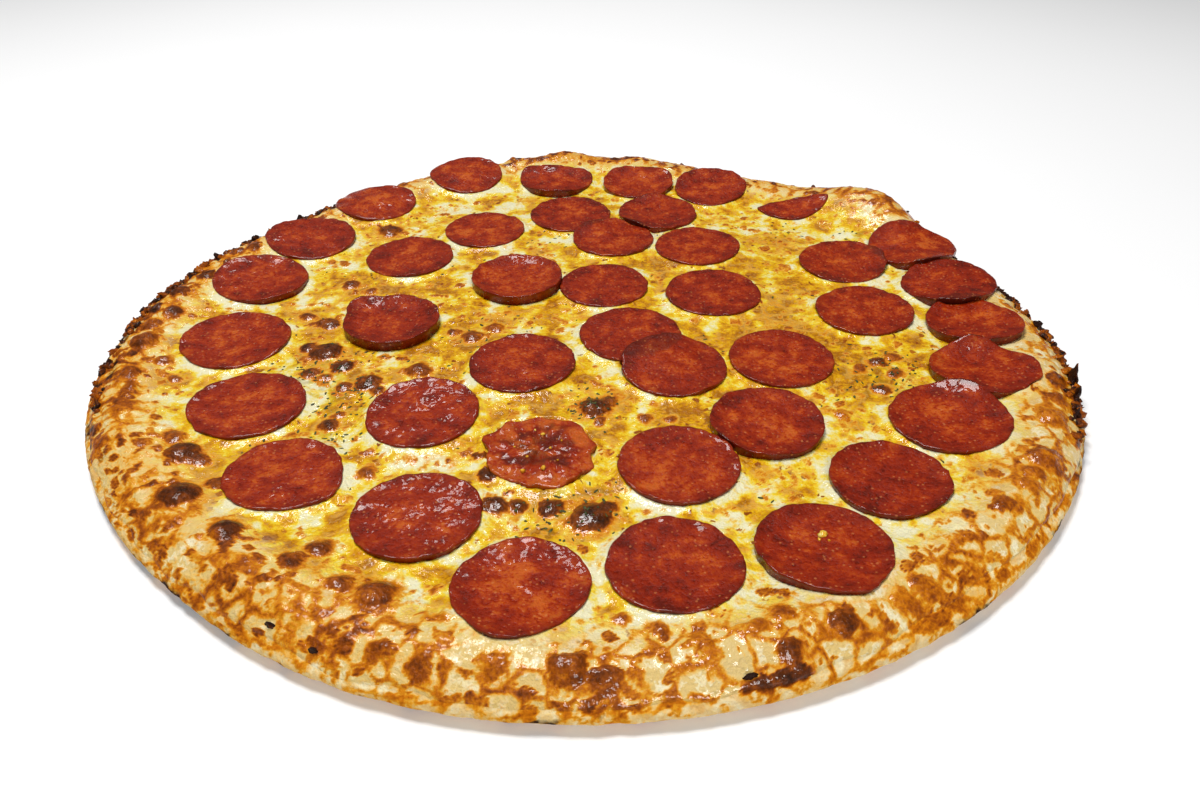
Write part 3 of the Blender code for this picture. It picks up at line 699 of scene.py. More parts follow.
# %% Fields of the cheese
def cheese_fields(x, y):
    """Everything the cheese's surface and material need to know about each place."""
    angle, inset = np.arctan2(y, x), inset_of(x, y)
    rim = eased((34 * MM - inset) / (20 * MM))
    away, stands = from_slices(x, y)
    bare = eased((away - 0.4 * MM) / (2.0 * MM))
    beside = eased(1 - away / (6 * MM))
    left = towards(angle, -165, 1) * rim
    toast, rise, stain = blister_fields(x, y, rim)
    spots, spot_rise, wx, wy, patchy = spot_fields(x, y, rim, left)
    toast = np.maximum(toast, spots)
    back, corner = towards(angle, 95, 3), towards(angle, 50, 10)
    warm = rim * (0.02 + 0.19 * back + 0.14 * corner + 0.16 * broken(x, y, 22 * MM, 14)) + 0.10 * left
    toast = np.clip(toast + np.clip(warm, 0, 1), 0, 1)
    toast = np.where(toast < 0.6, toast * (1 - 0.7 * beside), toast)

    oil = 0.43 - 0.07 * eased((y - 40 * MM) / (60 * MM)) + patches(x, y, OIL_PATCHES)
    oil = oil + 0.54 * broken(wx, wy, 13 * MM, 15) + 0.14 * swells(x, y, 4 * MM, 16)
    oil = np.clip(oil - 0.16 * beside + 0.30 * stain, 0.0, 0.85)
    herb = np.clip(patches(x, y, HERB_PATCHES) * (0.75 + 0.7 * broken(x, y, 7 * MM, 17)), 0, 1)
    herb = np.clip(herb + 0.34 * stain * (1 - rim), 0, 1)

    back_left, right = towards(angle, 155, 2), towards(angle, -8, 10)
    at_edge = eased((7 * MM - inset) / (5 * MM))
    front = towards(angle, -90, 1)
    char = 0.12 + 0.75 * back_left + 0.9 * right + 0.3 * corner + 0.35 * broken(x, y, 18 * MM, 18)
    char = at_edge * char * (1 - 0.9 * front)
    char += 0.75 * back_left * eased((17 * MM - inset) / (9 * MM)) * eased(broken(x, y, 11 * MM, 19) * 1.6)

    relief = 0.22 * MM * broken(x, y, 12 * MM, 21) + 0.10 * MM * swells(x, y, 3.2 * MM, 22)
    micro = seeds(wx, wy, 2.6 * MM, 25)
    relief += (0.3 + 0.7 * rim) * 0.22 * MM * domed(micro[0] / 0.55)
    relief += spot_rise + rim * 0.35 * MM * np.abs(broken(wx, wy, 6 * MM, 20)) + 0.07 * MM * swells(x, y, 1.9 * MM, 27)
    scale = seeds(wx, wy, 6.2 * MM, 23)
    relief += left * MM * (0.9 * domed(scale[0] / 0.8) + 0.3 * swells(x, y, 4 * MM, 24))
    # Painted shade: the furrows between the left rim's scales are coloured brown through the toast field, as shadow in
    # the creases.
    shaded_furrow = eased(1 - (scale[1] - scale[0]) / 0.28) * left
    toast = np.maximum(toast, 0.46 * shaded_furrow * (0.6 + 0.4 * patchy))
    ledge = seeds(x, y, 6 * MM, 26)
    lumps_there = eased((13 * MM - inset) / (7 * MM)) * (0.25 + back_left + 0.6 * right + 0.6 * back)
    relief += 1.9 * MM * lumps_there * domed(ledge[0] / 0.6) * (ledge[2][..., 0] > 0.3)
    climb = np.clip(stands - 0.30 * MM, 0, 1.5 * MM) * eased((3.4 * MM - stands) / (1.2 * MM))
    climb = climb * np.exp(-np.clip(away, 0, 1) / (1.7 * MM)) * (away > -1.0 * MM)
    return {
        "toast": toast, "oil": oil, "herb": herb, "char": np.clip(char, 0, 1), "rim": rim * 0.95,
        "dry": np.clip(left + 0.7 * at_edge * back_left + 0.7 * at_edge * right, 0, 1),
        "relief": bare * (relief + rise) + climb, "under": eased((0.6 * MM - away) / (1.0 * MM)),
    }


print("fields:", *cheese_fields(np.zeros(1), np.zeros(1)))

# %% [markdown]
# ## The crust
#
# The dough is stretched thin and its rim puffs, splits and browns. Its section isn't a circle, so turning
# one profile would look like a plate. Instead rays run out from a ring inside the rim and find the solid's
# skin all round, the facets are smoothed away, and fine wrinkles are pressed in. Pressed in and not raised,
# so that the skin stays inside the solid's own size.

# %% Crust skin
CRUST_COLUMNS, CRUST_ROWS = 960, 42
CORE_DEPTH, CORE_HEIGHT = 9 * MM, 3.6 * MM
UNDER_TILT, OVER_TILT = -76, 86
# Patterns on the side run along a strip that is rolled round this many millimetres from the middle.
ROLLED = 200
tilts = np.radians(np.linspace(UNDER_TILT, OVER_TILT, CRUST_ROWS))
skin = np.zeros((PROBES, CRUST_ROWS))
for i, angle in enumerate(probe_angles):
    out = Vector((math.cos(angle), math.sin(angle), 0))
    core = out * (dough_edge[i] - CORE_DEPTH) + Vector((0, 0, CORE_HEIGHT))
    for k, tilt in enumerate(tilts):
        hit = dough_tree.ray_cast(core, out * math.cos(tilt) + Vector((0, 0, math.sin(tilt))))[0]
        skin[i, k] = (hit - core).length
skin = blurred_round(skin, 2.5)
print("the crust's side is", in_mm(skin[:, CRUST_ROWS // 2].mean()), "mm from its core")

# %% [markdown]
# The rim's skin is a closed grid. Above, it carries on inwards as a coarse disc under the cheese, and below
# as the flat base it rests on. Both are part of the same mesh, so the crust is one closed body.

# %% Crust mesh
columns = full_turn(CRUST_COLUMNS)
edge = at_angles(dough_edge, columns)
side = at_angles(skin, columns)
away_out = (edge - CORE_DEPTH)[:, None] + side * np.cos(tilts)
level = CORE_HEIGHT + side * np.sin(tilts)
along = columns[:, None] * ROLLED * MM
grooves = np.abs(swells(along, level * 2.2, 9 * MM, 31)) + 0.6 * np.abs(swells(along, level * 2, 4 * MM, 32))
pressed = (0.1 + 0.55 * grooves) * MM * np.clip(level / (2.5 * MM), 0, 1)
away_out = away_out - pressed * np.cos(tilts)
level = np.maximum(level - pressed * np.sin(tilts) * 0.6, 0)
rim_rows = np.stack([*turned_out(away_out, columns[:, None]), level], axis=-1).transpose(1, 0, 2)
INNER_SHARES = (0.985, 0.955, 0.92, 0.87, 0.8, 0.68, 0.5, 0.3, 0.1)


def inner_rows(outer, top):
    """Rows that carry a rim row inwards: level below, and just under the solid's top above."""
    rows = []
    for share in INNER_SHARES:
        row = outer.copy()
        row[:, :2] *= share
        row[:, 2] = dough_top(row[:, 0], row[:, 1]) - 0.5 * MM if top else 0
        rows.append(row)
    return rows


under_rows = inner_rows(rim_rows[0], top=False)[::-1]
over_rows = inner_rows(rim_rows[-1], top=True)
crust_points = kept_in_box(np.concatenate([*under_rows, *rim_rows, *over_rows]).reshape(-1, 3))
crust_faces = closed_tube(len(crust_points) // CRUST_COLUMNS, CRUST_COLUMNS)
print("crust:", len(crust_points), "points")


# %% Crust fields
def crust_fields(points):
    """Browning of the crust: lighter on top, burnt on the left and right sides, leopard spots below."""
    x, y, z = points.T
    angle = np.arctan2(y, x)
    fields = cheese_fields(*unrolled(x, y, z))
    along = angle * ROLLED * MM
    lower = eased((7.5 * MM - z) / (5 * MM))
    blotch = 0.5 + 0.5 * broken(along, z * 2.5, 16 * MM, 33)
    burnt = np.clip(towards(angle, -155, 1.5) + towards(angle, -12, 8) + 0.7 * towards(angle, 160, 2), 0, 1)
    under_line = eased((2.0 * MM - z) / (1.2 * MM))
    scorched = 0.02 + 0.22 * blotch**2 + 0.45 * burnt * blotch + 0.22 * under_line
    toast = np.maximum(fields["toast"] * (1 - 0.6 * lower), lower * scorched)
    below = z < 0.3 * MM
    leopard = eased((broken(x, y, 15 * MM, 34) + 0.1) / 0.8)
    toast = np.where(below, 0.18 + 0.5 * leopard, toast)
    char = np.maximum(fields["char"] * (1 - lower), lower * burnt * eased((blotch - 0.35) / 0.4))
    char = np.where(below, 0.5 * eased((leopard - 0.75) / 0.25), char)
    streaks = eased((broken(along, z * 3, 26 * MM, 35) - 0.55) / 0.2) * eased((z - 1.5 * MM) / (1.5 * MM))
    return {"toast": toast, "char": np.maximum(char, 0.8 * streaks * lower), "dry": np.ones_like(toast)}


crust = add_piece("crust", crust_points, crust_faces, baked_dough, crust_fields(crust_points))
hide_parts("dough")
crust_tree = tree_of(crust_points, crust_faces)
print("crust:", len(crust_faces), "faces")

# %% [markdown]
# ## Laying the cheese
#
# The sheet is made twice over: a middle, a square grid bent into a round so that its cells stay the same size,
# and a ring out to the edge whose columns start at that round's own points. Its thickness is that of the solid,
# blurred so that no facet shows, and the relief goes on top. Where it ends it rounds down to the dough.

# %% Cheese grid
MIDDLE_RADIUS, EDGE_GAP = 146 * MM, 0.3 * MM
CELLS, RING_ROWS = 300, 80
unit = np.linspace(-1, 1, CELLS + 1)
sx, sy = np.meshgrid(unit, unit)
mid_x = (sx * np.sqrt(1 - sy**2 / 2) * MIDDLE_RADIUS).ravel()
mid_y = (sy * np.sqrt(1 - sx**2 / 2) * MIDDLE_RADIUS).ravel()
index = np.arange((CELLS + 1) ** 2).reshape(CELLS + 1, CELLS + 1)
loop = np.concatenate([index[0, :-1], index[:-1, -1], index[-1, :0:-1], index[:0:-1, 0]])
ring_angles = np.arctan2(mid_y[loop], mid_x[loop])
outer = at_angles(cheese_edge, ring_angles) - EDGE_GAP
shares = 1 - (1 - np.linspace(0, 1, RING_ROWS + 1)[1:]) ** 1.25
ring_out = MIDDLE_RADIUS + (outer - MIDDLE_RADIUS)[None, :] * shares[:, None]
ring_x, ring_y = [side.ravel() for side in turned_out(ring_out, ring_angles)]
sheet_x, sheet_y = np.concatenate([mid_x, ring_x]), np.concatenate([mid_y, ring_y])
print("cheese sheet:", sheet_x.size, "points")

# %% Cheese heights
gap_to_edge = inset_of(sheet_x, sheet_y, cheese_edge)
TAPER = 13 * MM
rounding = np.sqrt(np.clip((gap_to_edge - EDGE_GAP) / (2.4 * MM), 0, 1))
tapered = 0.15 + 0.85 * eased(gap_to_edge / TAPER)
sheet_z = dough_top(sheet_x, sheet_y) + read_map(thick, sheet_x, sheet_y) * rounding * tapered
fields = cheese_fields(*unrolled(sheet_x, sheet_y, sheet_z))
sheet_z += fields["relief"] * rounding * np.maximum(tapered, 0.45) - 0.35 * MM * fields["under"]
at_edge = gap_to_edge < 0.6 * MM
sheet_z[at_edge] = heights(crust_tree, sheet_x[at_edge], sheet_y[at_edge]) - 0.4 * MM
sheet = kept_in_box(as_points(sheet_x, sheet_y, sheet_z))
print("cheese rises to", in_mm(sheet[:, 2].max()), "mm")

# %% Cheese pieces
ring_start = mid_x.size
ring_index = np.concatenate([loop[None, :], ring_start + np.arange(ring_x.size).reshape(RING_ROWS, -1)])
flat_ring = grid_faces(RING_ROWS + 1, loop.size, closed=True)
ring_faces = ring_index.ravel()[flat_ring][:, ::-1]
mid_faces = grid_faces(CELLS + 1, CELLS + 1, closed=False)

whole = bpy.data.meshes.new("whole_sheet")
whole.from_pydata(sheet.tolist(), [], [*mid_faces.tolist(), *ring_faces.tolist()])
normals = np.empty(len(sheet) * 3, np.float32)
whole.vertex_normals.foreach_get("vector", normals)
normals = normals.reshape(-1, 3)
bpy.data.meshes.remove(whole)
STORED = ("toast", "oil", "herb", "char", "rim", "dry")


def cheese_piece(name, faces):
    """One piece of the sheet, with the whole sheet's normals, so that no seam shows."""
    used, renumbered = np.unique(faces, return_inverse=True)
    stored = {key: fields[key][used] for key in STORED}
    piece = add_piece(name, sheet[used], renumbered.reshape(faces.shape), melted_mozzarella, stored)
    piece.data.normals_split_custom_set_from_vertices(normals[used].tolist())
    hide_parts("cheese")
    return piece


for name, faces in (("cheese_middle", mid_faces), ("cheese_rim", ring_faces)):
    piece = cheese_piece(name, faces)
    print(name, 2 * len(piece.data.polygons), "triangles")
sheet_tree = tree_of(sheet, [*mid_faces.tolist(), *ring_faces.tolist()])

# %% [markdown]
# ## Burnt flakes
#
# Shreds of cheese that hung over the rim dried and burnt to stiff dark flakes. Each is a rounded cone flattened to a
# third, leaning outwards, and pulled about by swells until it looks torn. They stand where the solids have them.

# %% Flakes
# Each is the angle in degrees, the distance in from the cheese's edge, length, width, lean outwards, and char.
FLAKES = (
    (-14.6, 2, 11, 12, 5, 1), (-18, 2, 8, 12, 5, 1), (-21.5, 2, 6, 10, 5, 1), (-11.4, 3, 6, 9, 10, 1),
    (-8, 3, 5, 9, 15, 1), (-4, 3, 4.5, 9, 15, .9), (0, 3, 4, 9, 15, .9), (5, 3, 4, 8, 15, .9), (48, 3, 5, 6, 15, .8),
    (103, 3, 5, 9, 30, .2), (139.5, 3, 5.5, 8, 20, .7), (145, 3, 6, 9, 25, .8), (149, 4, 6, 9, 30, .8),
    (161, 4, 6, 9, 25, .9), (167, 4, 5, 10, 15, .9), (172, 5, 5, 9, 15, .8), (178, 4, 5, 9, 15, .9),
    (-170.5, 4, 5, 8, 15, .7), (-163, 4, 5, 8, 20, .7), (-117, 3, 4.5, 7, 10, 1), (-112, 3, 4.5, 6, 10, 1),
    (-76, 3, 5, 8, 20, 1),
)
FLAKE_SIDES, FLAKE_ROWS = 18, 12
FLAKE_ROOT, FLAKE_TIP, FLAKE_FLAT = 2.5 * MM, 0.7 * MM, 0.35


def flake_points(at, inset, length, width, lean, number):
    """One flake's points, row by row from its root in the cheese to its torn tip."""
    rise = np.linspace(0, 1, FLAKE_ROWS)[:, None]
    around = full_turn(FLAKE_SIDES)
    girth = (width * MM / 2) * (1 - rise) + FLAKE_TIP * rise
    tx, ty = np.cos(around) * 4 * MM + rise * length * MM, np.sin(around) * 2 * MM
    torn = 1 + 0.5 * swells(tx, ty, 2.6 * MM, 50 + number)
    girth = girth * torn * np.where(rise == 1, 0.3, 1)
    u, v = girth * np.cos(around), girth * np.sin(around) * FLAKE_FLAT
    w = (rise * length * MM - FLAKE_ROOT) + 0 * u
    u = u + 1.0 * MM * rise * swells(w, 0 * w, 5 * MM, number)
    v = v + 0.8 * MM * rise * swells(w, u, 6 * MM, number + 60)
    tilt = math.radians(lean)
    outward, up = v * math.cos(tilt) + w * math.sin(tilt), w * math.cos(tilt) - v * math.sin(tilt)
    angle = math.radians(at)
    foot = float(at_angles(cheese_edge, np.array([angle]))[0]) - inset * MM
    fx, fy = foot * math.cos(angle), foot * math.sin(angle)
    ground = float(heights(sheet_tree, np.array([fx]), np.array([fy]))[0])
    x = fx + outward * math.cos(angle) - u * math.sin(angle)
    y = fy + outward * math.sin(angle) + u * math.cos(angle)
    return as_points(x, y, up + ground)


def copies(faces, points, count):
    """The faces of so many shapes in a row, each of so many points."""
    return [[corner + k * points for corner in face] for k in range(count) for face in faces]


def bit_fields(toast, char, rim):
    """The fields of a bit of cheese that is too small for stains."""
    flat = np.zeros_like(char)
    return {"toast": toast, "oil": flat + 0.5, "herb": flat, "char": char, "rim": flat + rim, "dry": flat + rim}


FLAKE_POINTS = FLAKE_ROWS * FLAKE_SIDES
flake_parts = [flake_points(*row[:5], number) for number, row in enumerate(FLAKES)]
flake_cloud = kept_in_box(np.concatenate(flake_parts))
flake_faces = copies(closed_tube(FLAKE_ROWS, FLAKE_SIDES), FLAKE_POINTS, len(FLAKES))
burn = np.repeat([0.15 + 0.55 * row[5] for row in FLAKES], FLAKE_POINTS)
flakes = add_piece("burnt_flakes", flake_cloud, flake_faces, melted_mozzarella, bit_fields(0.4 + 0.4 * burn, burn, 1))
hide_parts("cheese")
print(len(FLAKES), "flakes, the tallest to", in_mm(flake_cloud[:, 2].max()), "mm")

# %% [markdown]
# ## Crumbs of char, herbs and cheese
#
# Three kinds of small bits lie about: charred crumbs along the rim, dried herbs in their pinches, and a few
# crumbs of cheese on the sausage, which come last. All are one idea, a ball stretched to three sizes, turned, and
# dented by chance, so that no two are alike. Only their sizes, places and material differ.

# %% Lumps
BALL_ROWS, BALL_SIDES = 6, 8
BALL_POINTS = BALL_ROWS * BALL_SIDES
chance_of = np.random.default_rng(7)


def lump_cloud(x, y, z, sizes, dents=0.3):
    """The points and faces of closed little lumps, with half their length, width and height in `sizes`."""
    count = len(x)
    rise = np.radians(np.linspace(-75, 75, BALL_ROWS))[:, None]
    around = full_turn(BALL_SIDES)
    ball = np.stack([*turned_out(np.cos(rise), around), np.sin(rise) + 0 * around], axis=-1)
    ball = ball.reshape(1, -1, 3) * chance_of.uniform(1 - dents, 1 + dents, (count, BALL_POINTS, 1))
    ball = ball * sizes[:, None, :]
    turned = chance_of.uniform(0, math.pi, (count, 1))
    u = ball[..., 0] * np.cos(turned) - ball[..., 1] * np.sin(turned)
    v = ball[..., 0] * np.sin(turned) + ball[..., 1] * np.cos(turned)
    points = as_points(x[:, None] + u, y[:, None] + v, z[:, None] + ball[..., 2])
    return points, copies(closed_tube(BALL_ROWS, BALL_SIDES), BALL_POINTS, count)


print("a lump has", BALL_POINTS, "points")

# %% Charred crumbs
# Each stretch is a first and a last angle in degrees, how many crumbs lie on it, and their mean half length in mm.
CHARRED_STRETCHES = (
    (-26, 8, 90, 1.5), (8, 34, 14, 1.0), (130, 184, 190, 1.7), (184, 200, 30, 1.3), (60, 130, 14, 0.8),
)
spread = [chance_of.uniform(first, last, count) for first, last, count, _ in CHARRED_STRETCHES]
at = np.radians(np.concatenate(spread))
half = np.concatenate([np.full(count, size) for _, _, count, size in CHARRED_STRETCHES]) * MM
half = half * chance_of.uniform(0.5, 1.5, at.size)
out = at_angles(cheese_edge, at) - (1.0 * MM + 4.5 * MM * chance_of.uniform(0, 1, at.size) ** 2)
cx, cy = turned_out(out, at)
cz = heights(sheet_tree, cx, cy) + 0.2 * half
crumb_sizes = half[:, None] * chance_of.uniform((0.8, 0.5, 0.4), (1.3, 1.0, 0.9), (at.size, 3))
crumb_cloud, crumb_faces = lump_cloud(cx, cy, cz, crumb_sizes, 0.45)
burn = np.repeat(chance_of.uniform(0.1, 0.75, at.size), BALL_POINTS)
crumb_fields = bit_fields(0.5 + 0.2 * burn, burn, 1)
crumbs = add_piece("charred_crumbs", kept_in_box(crumb_cloud), crumb_faces, melted_mozzarella, crumb_fields)
print(at.size, "charred crumbs")

# %% Dried herbs
m = dried_oregano = new_material("dried_oregano")
leafy = node(m, "TexNoise", Vector=node(m, "TexCoord", "Object"), Scale=1 / (1.5 * MM), Detail=2)
green = node(m, "ValToRGB", options={"stops": ((0.3, "#20260A"), (0.5, "#38400F"), (0.7, "#5C5A1C"))}, Fac=leafy)
veins = node(m, "Bump", Height=leafy, Strength=0.5, Distance=0.1 * MM)
node(m, "OutputMaterial", Surface=node(m, "BsdfPrincipled", Base_Color=green, Roughness=0.6, Normal=veins, IOR=1.45))
PINCH_SHARE, FLECKS = 0.55, 620
rows = np.array(HERB_PATCHES)
share = rows[:, 3] * rows[:, 2]
pinch = chance_of.choice(len(rows), FLECKS, p=share / share.sum())
fall = chance_of.normal(0, PINCH_SHARE, (FLECKS, 2)) * rows[pinch, 2:3]
hx, hy = ((rows[pinch, :2] + fall + OFFSET) * MM).T
loose = slice(0, FLECKS // 6)
LOOSE_WITHIN, NONE_BEYOND = 150 * MM, 165 * MM
hx[loose], hy[loose] = chance_of.uniform(-LOOSE_WITHIN, LOOSE_WITHIN, (2, FLECKS // 6))
clear = (from_slices(hx, hy)[0] > 1.5 * MM) & (np.hypot(hx, hy) < NONE_BEYOND)
hx, hy = hx[clear], hy[clear]
fleck_sizes = chance_of.uniform((0.4, 0.25, 0.12), (1.1, 0.5, 0.22), (hx.size, 3)) * MM
herb_cloud, herb_faces = lump_cloud(hx, hy, heights(sheet_tree, hx, hy) + 0.08 * MM, fleck_sizes)
herbs = add_piece("dried_herbs", herb_cloud, herb_faces, dried_oregano)
print(hx.size, "flecks of herb")

# %% [markdown]
# ## Pepperoni
#
# Cured sausage is red from paprika, marbled with fat, and sliced one to two millimetres thick. In the oven the
# fat runs out, the edge shrinks, thickens and darkens, and the slice shines with its own oil. Fat refracts at
# about 1.46. The oil is a coat over rougher meat, with gentle ripples of its own that break up the lights in it.
# The marbling is drawn with seeds, about a millimetre across.

# %% Cured sausage
MEAT_STOPS = ((0.10, "#641402"), (0.32, "#841C02"), (0.52, "#942402"), (0.72, "#AA3604"), (0.95, "#C65A16"))
m = cured_sausage = new_material("cured_sausage")
place = node(m, "TexCoord", "Object")
marble = node(m, "TexNoise", options=SIGNED, Vector=place, Scale=1 / (6 * MM), Detail=4, Roughness=0.6)
mince = node(m, "TexNoise", options=SIGNED, Vector=place, Scale=1 / (1.3 * MM), Detail=4, Roughness=0.6)
tone = node(m, "Attribute", "Fac", {"attribute_name": "tone"})
tone = node(m, "Math", options=TIMES_PLUS, _0=marble, _1=0.36, _2=tone)
tone = node(m, "Math", options=TIMES_PLUS, _0=mince, _1=0.26, _2=tone)
meat = node(m, "ValToRGB", options={"stops": MEAT_STOPS}, Fac=tone)
dark = node(m, "Attribute", "Fac", {"attribute_name": "dark"})
dark = node(m, "Math", options=CLAMPED, _0=mince, _1=0.25, _2=dark)
meat = node(m, "Mix", 2, COLOURS, _0=dark, _6=meat, _7="#451206")
fat = node(m, "TexVoronoi", "Distance", Vector=place, Scale=1 / (1.7 * MM))
chance = node(m, "SeparateColor", Color=fat.node.outputs["Color"])
fat = node(m, "Math", options={"operation": "LESS_THAN"}, _0=fat, _1=0.26)
chosen = node(m, "Math", options=ABOVE, _0=chance, _1=0.70)
fat = node(m, "Math", options=TIMES, _0=fat, _1=chosen)
fat = node(m, "Math", options=TIMES, _0=fat, _1=0.45)
meat = node(m, "Mix", 2, COLOURS, _0=fat, _6=meat, _7="#D07E48")
pits = node(m, "Math", options=TIMES_PLUS, _0=marble, _1=0.8, _2=mince)
film = node(m, "TexNoise", options=SIGNED, Vector=place, Scale=1 / (2.4 * MM), Detail=1)
film = node(m, "Bump", Height=film, Strength=0.5, Distance=0.14 * MM)
pits = node(m, "Bump", Height=pits, Strength=0.4, Distance=0.4 * MM)
rough = node(m, "Math", options=TIMES_PLUS, _0=mince, _1=0.25, _2=0.36)
sausage = node(
    m, "BsdfPrincipled", Base_Color=meat, Roughness=rough, Normal=pits, IOR=1.46, Specular_IOR_Level=0.12,
    Coat_Weight=0.42, Coat_Roughness=0.08, Coat_Normal=film,
    Subsurface_Weight=0.05, Subsurface_Radius=(1.0, 0.25, 0.1), Subsurface_Scale=1.0 * MM,
)
node(m, "OutputMaterial", Surface=sausage)
print("material:", cured_sausage.name)

# %% [markdown]
# ## Slicing
#
# Each slice is a disc of rings. Its top follows the solid's top, smoothed by fitting one curved sheet to
# it, so a cupped or folded slice keeps its bend without the facets. The edge is rounded over, and its foot
# is let down onto whatever it rests on, because a slice that floats is the first thing the eye catches.

# %% Slice shape
TOP_SHARES = (0.05, 0.13, 0.22, 0.31, 0.40, 0.49, 0.58, 0.66, 0.74, 0.81, 0.87, 0.92, 0.955, 0.98)
# Each row of the wall is its share of the reach and how far down the thickness it lies.
WALL = ((0.994, 0.07), (1.0, 0.22), (1.0, 0.5), (0.992, 0.78), (0.97, 1.0))
UNDER_SHARES = (0.85, 0.6, 0.3, 0.05)
THICKNESS = 1.3 * MM
# An edge that stands higher than the first isn't let down. Slices further apart than the second don't touch.
LIFTED, APART = 5 * MM, 60 * MM
# The highest power in the curved sheet, the radius at which an edge's noise is read, and the slice that broke up.
FIT_POWER, WRAP, CRUMBLED = 6, 22 * MM, 35
ROWS = np.array([*TOP_SHARES, *[share for share, _ in WALL], *UNDER_SHARES])[:, None]
FALLS = np.array([*[0] * len(TOP_SHARES), *[fall for _, fall in WALL], *[1] * len(UNDER_SHARES)])[:, None]
COS, SIN = np.cos(outline_angles), np.sin(outline_angles)
print("a slice has", len(ROWS), "rings of", OUTLINE_STEPS, "points")


def powers(x, y):
    """Every product of powers of x and y that the fitted sheet adds up."""
    return np.stack([x**a * y**b for a in range(FIT_POWER + 1) for b in range(FIT_POWER + 1 - a)], axis=-1)


def slice_top(piece, x, y, scale):
    """The solid's top as one smooth sheet, read at x and y from the slice's middle, and kept to its own range."""
    shares = np.linspace(0.05, 0.985, 14)[:, None]
    gx, gy = shares * piece["reach"] * COS, shares * piece["reach"] * SIN
    top = heights(piece["tree"], gx + piece["middle"][0], gy + piece["middle"][1])
    known = np.isfinite(top)
    fit = np.linalg.lstsq(powers(gx[known] / scale, gy[known] / scale), top[known], rcond=None)[0]
    return np.clip(powers(x / scale, y / scale) @ fit, top[known].min() - 0.3 * MM, top[known].max() + 0.1 * MM)


def build_slice(piece):
    """The rows of a slice's points, and the height of what lies below each."""
    number, reach = piece["number"], piece["reach"]
    ragged = 1 - 0.03 * np.abs(broken(COS * WRAP, SIN * WRAP, 9 * MM, number))
    if number == CRUMBLED:
        ragged = 0.93 + 0.14 * np.clip(broken(COS * WRAP, SIN * WRAP, 11 * MM, 43, 2), -1, 0.4)
    x, y = ROWS * reach * ragged * COS, ROWS * reach * ragged * SIN
    gx, gy = x + piece["middle"][0], y + piece["middle"][1]
    lip = 0.16 * MM * np.exp(-(((ROWS - 0.95) / 0.04) ** 2))
    bumps = 0.28 * MM * broken(gx, gy, 10 * MM, 40 + number) + 0.09 * MM * swells(gx, gy, 2.2 * MM, 41)
    folds = broken(reach * COS + 0.2 * x, reach * SIN + 0.2 * y, 8 * MM, 48 + number, 3)
    bumps = bumps + 0.34 * MM * folds * eased((ROWS - 0.60) / 0.35)
    if number == CRUMBLED:
        bubble = seeds(gx, gy, 3.4 * MM, 44)[0]
        bumps = bumps + 1.1 * MM * domed(bubble / 0.6) * eased((0.9 - ROWS) / 0.3) - 0.3 * MM
    z = slice_top(piece, x, y, reach.mean()) + (lip + bumps) * (FALLS < 1) - FALLS * THICKNESS
    support = heights(sheet_tree, gx, gy)
    for other in slices[:number - 1]:
        if math.dist(other["middle"], piece["middle"]) < APART:
            support = np.fmax(support, heights(other["tree"], gx, gy))
    gap = z - support
    z = np.where((FALLS > 0.5) & (ROWS > 0.9) & (gap > 0) & (gap < LIFTED), support - 0.12 * MM * FALLS, z)
    lying = (FALLS == 0) & (gap < 0.2 * MM) & (ROWS < 0.9)
    z = np.where(lying, support + 0.2 * MM, z)
    raised = np.minimum(np.maximum(z, support + 0.05 * MM), z + THICKNESS - 0.1 * MM)
    return gx, gy, np.where((FALLS == 1) & (ROWS < 0.9), raised, z), support


# %% Place the slices
def slice_fields(piece, gx, gy, resting):
    """How light the meat is at each point, and how dark: the heat darkens the edge and the wall, and the meat is darker
    where it lies on another slice.
    """
    number = piece["number"]
    share = ROWS * np.ones_like(gx)
    wavering = share + 0.16 * broken(gx, gy, 9 * MM, 45)
    tone = 0.54 + 0.07 * np.sin(number * 2.4) + 0.17 * broken(gx, gy, 12 * MM, 46)
    tone = tone + 0.10 * eased((0.60 - wavering) / 0.4) - 0.08 * eased((wavering - 0.66) / 0.16)
    dark = 0.14 * eased((wavering - 0.72) / 0.15) + 0.16 * eased((share - 0.94) / 0.05)
    dark = dark + 0.16 * eased(FALLS / 0.5) + 0.45 * resting
    if number == CRUMBLED:
        dark = dark + 0.75 * eased(broken(gx, gy, 6 * MM, 47) + 0.6) * eased((0.85 - wavering) / 0.25)
        tone = tone + 0.32 * eased((wavering - 0.62) / 0.2)
    return {"tone": tone, "dark": np.clip(dark, 0, 1)}


def slice_piece(piece):
    """One finished slice in place of its solid."""
    gx, gy, z, support = build_slice(piece)
    on_another = eased((np.nan_to_num(support - heights(sheet_tree, gx, gy)) - 0.5 * MM) / (1.2 * MM))
    points = kept_in_box(as_points(gx, gy, z))
    # A slice is a tube whose first ring is on top, so its faces are turned over.
    faces = [face[::-1] for face in closed_tube(len(ROWS), OUTLINE_STEPS)]
    looks = slice_fields(piece, gx, gy, on_another)
    made = add_piece(f"slice_{piece['number']:02d}", points, faces, cured_sausage, looks)
    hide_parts(f"pepperoni_{piece['number']:02d}")
    return made


made_slices = [slice_piece(piece) for piece in slices]
print(len(made_slices), "slices,", sum(len(made.data.polygons) for made in made_slices), "faces")

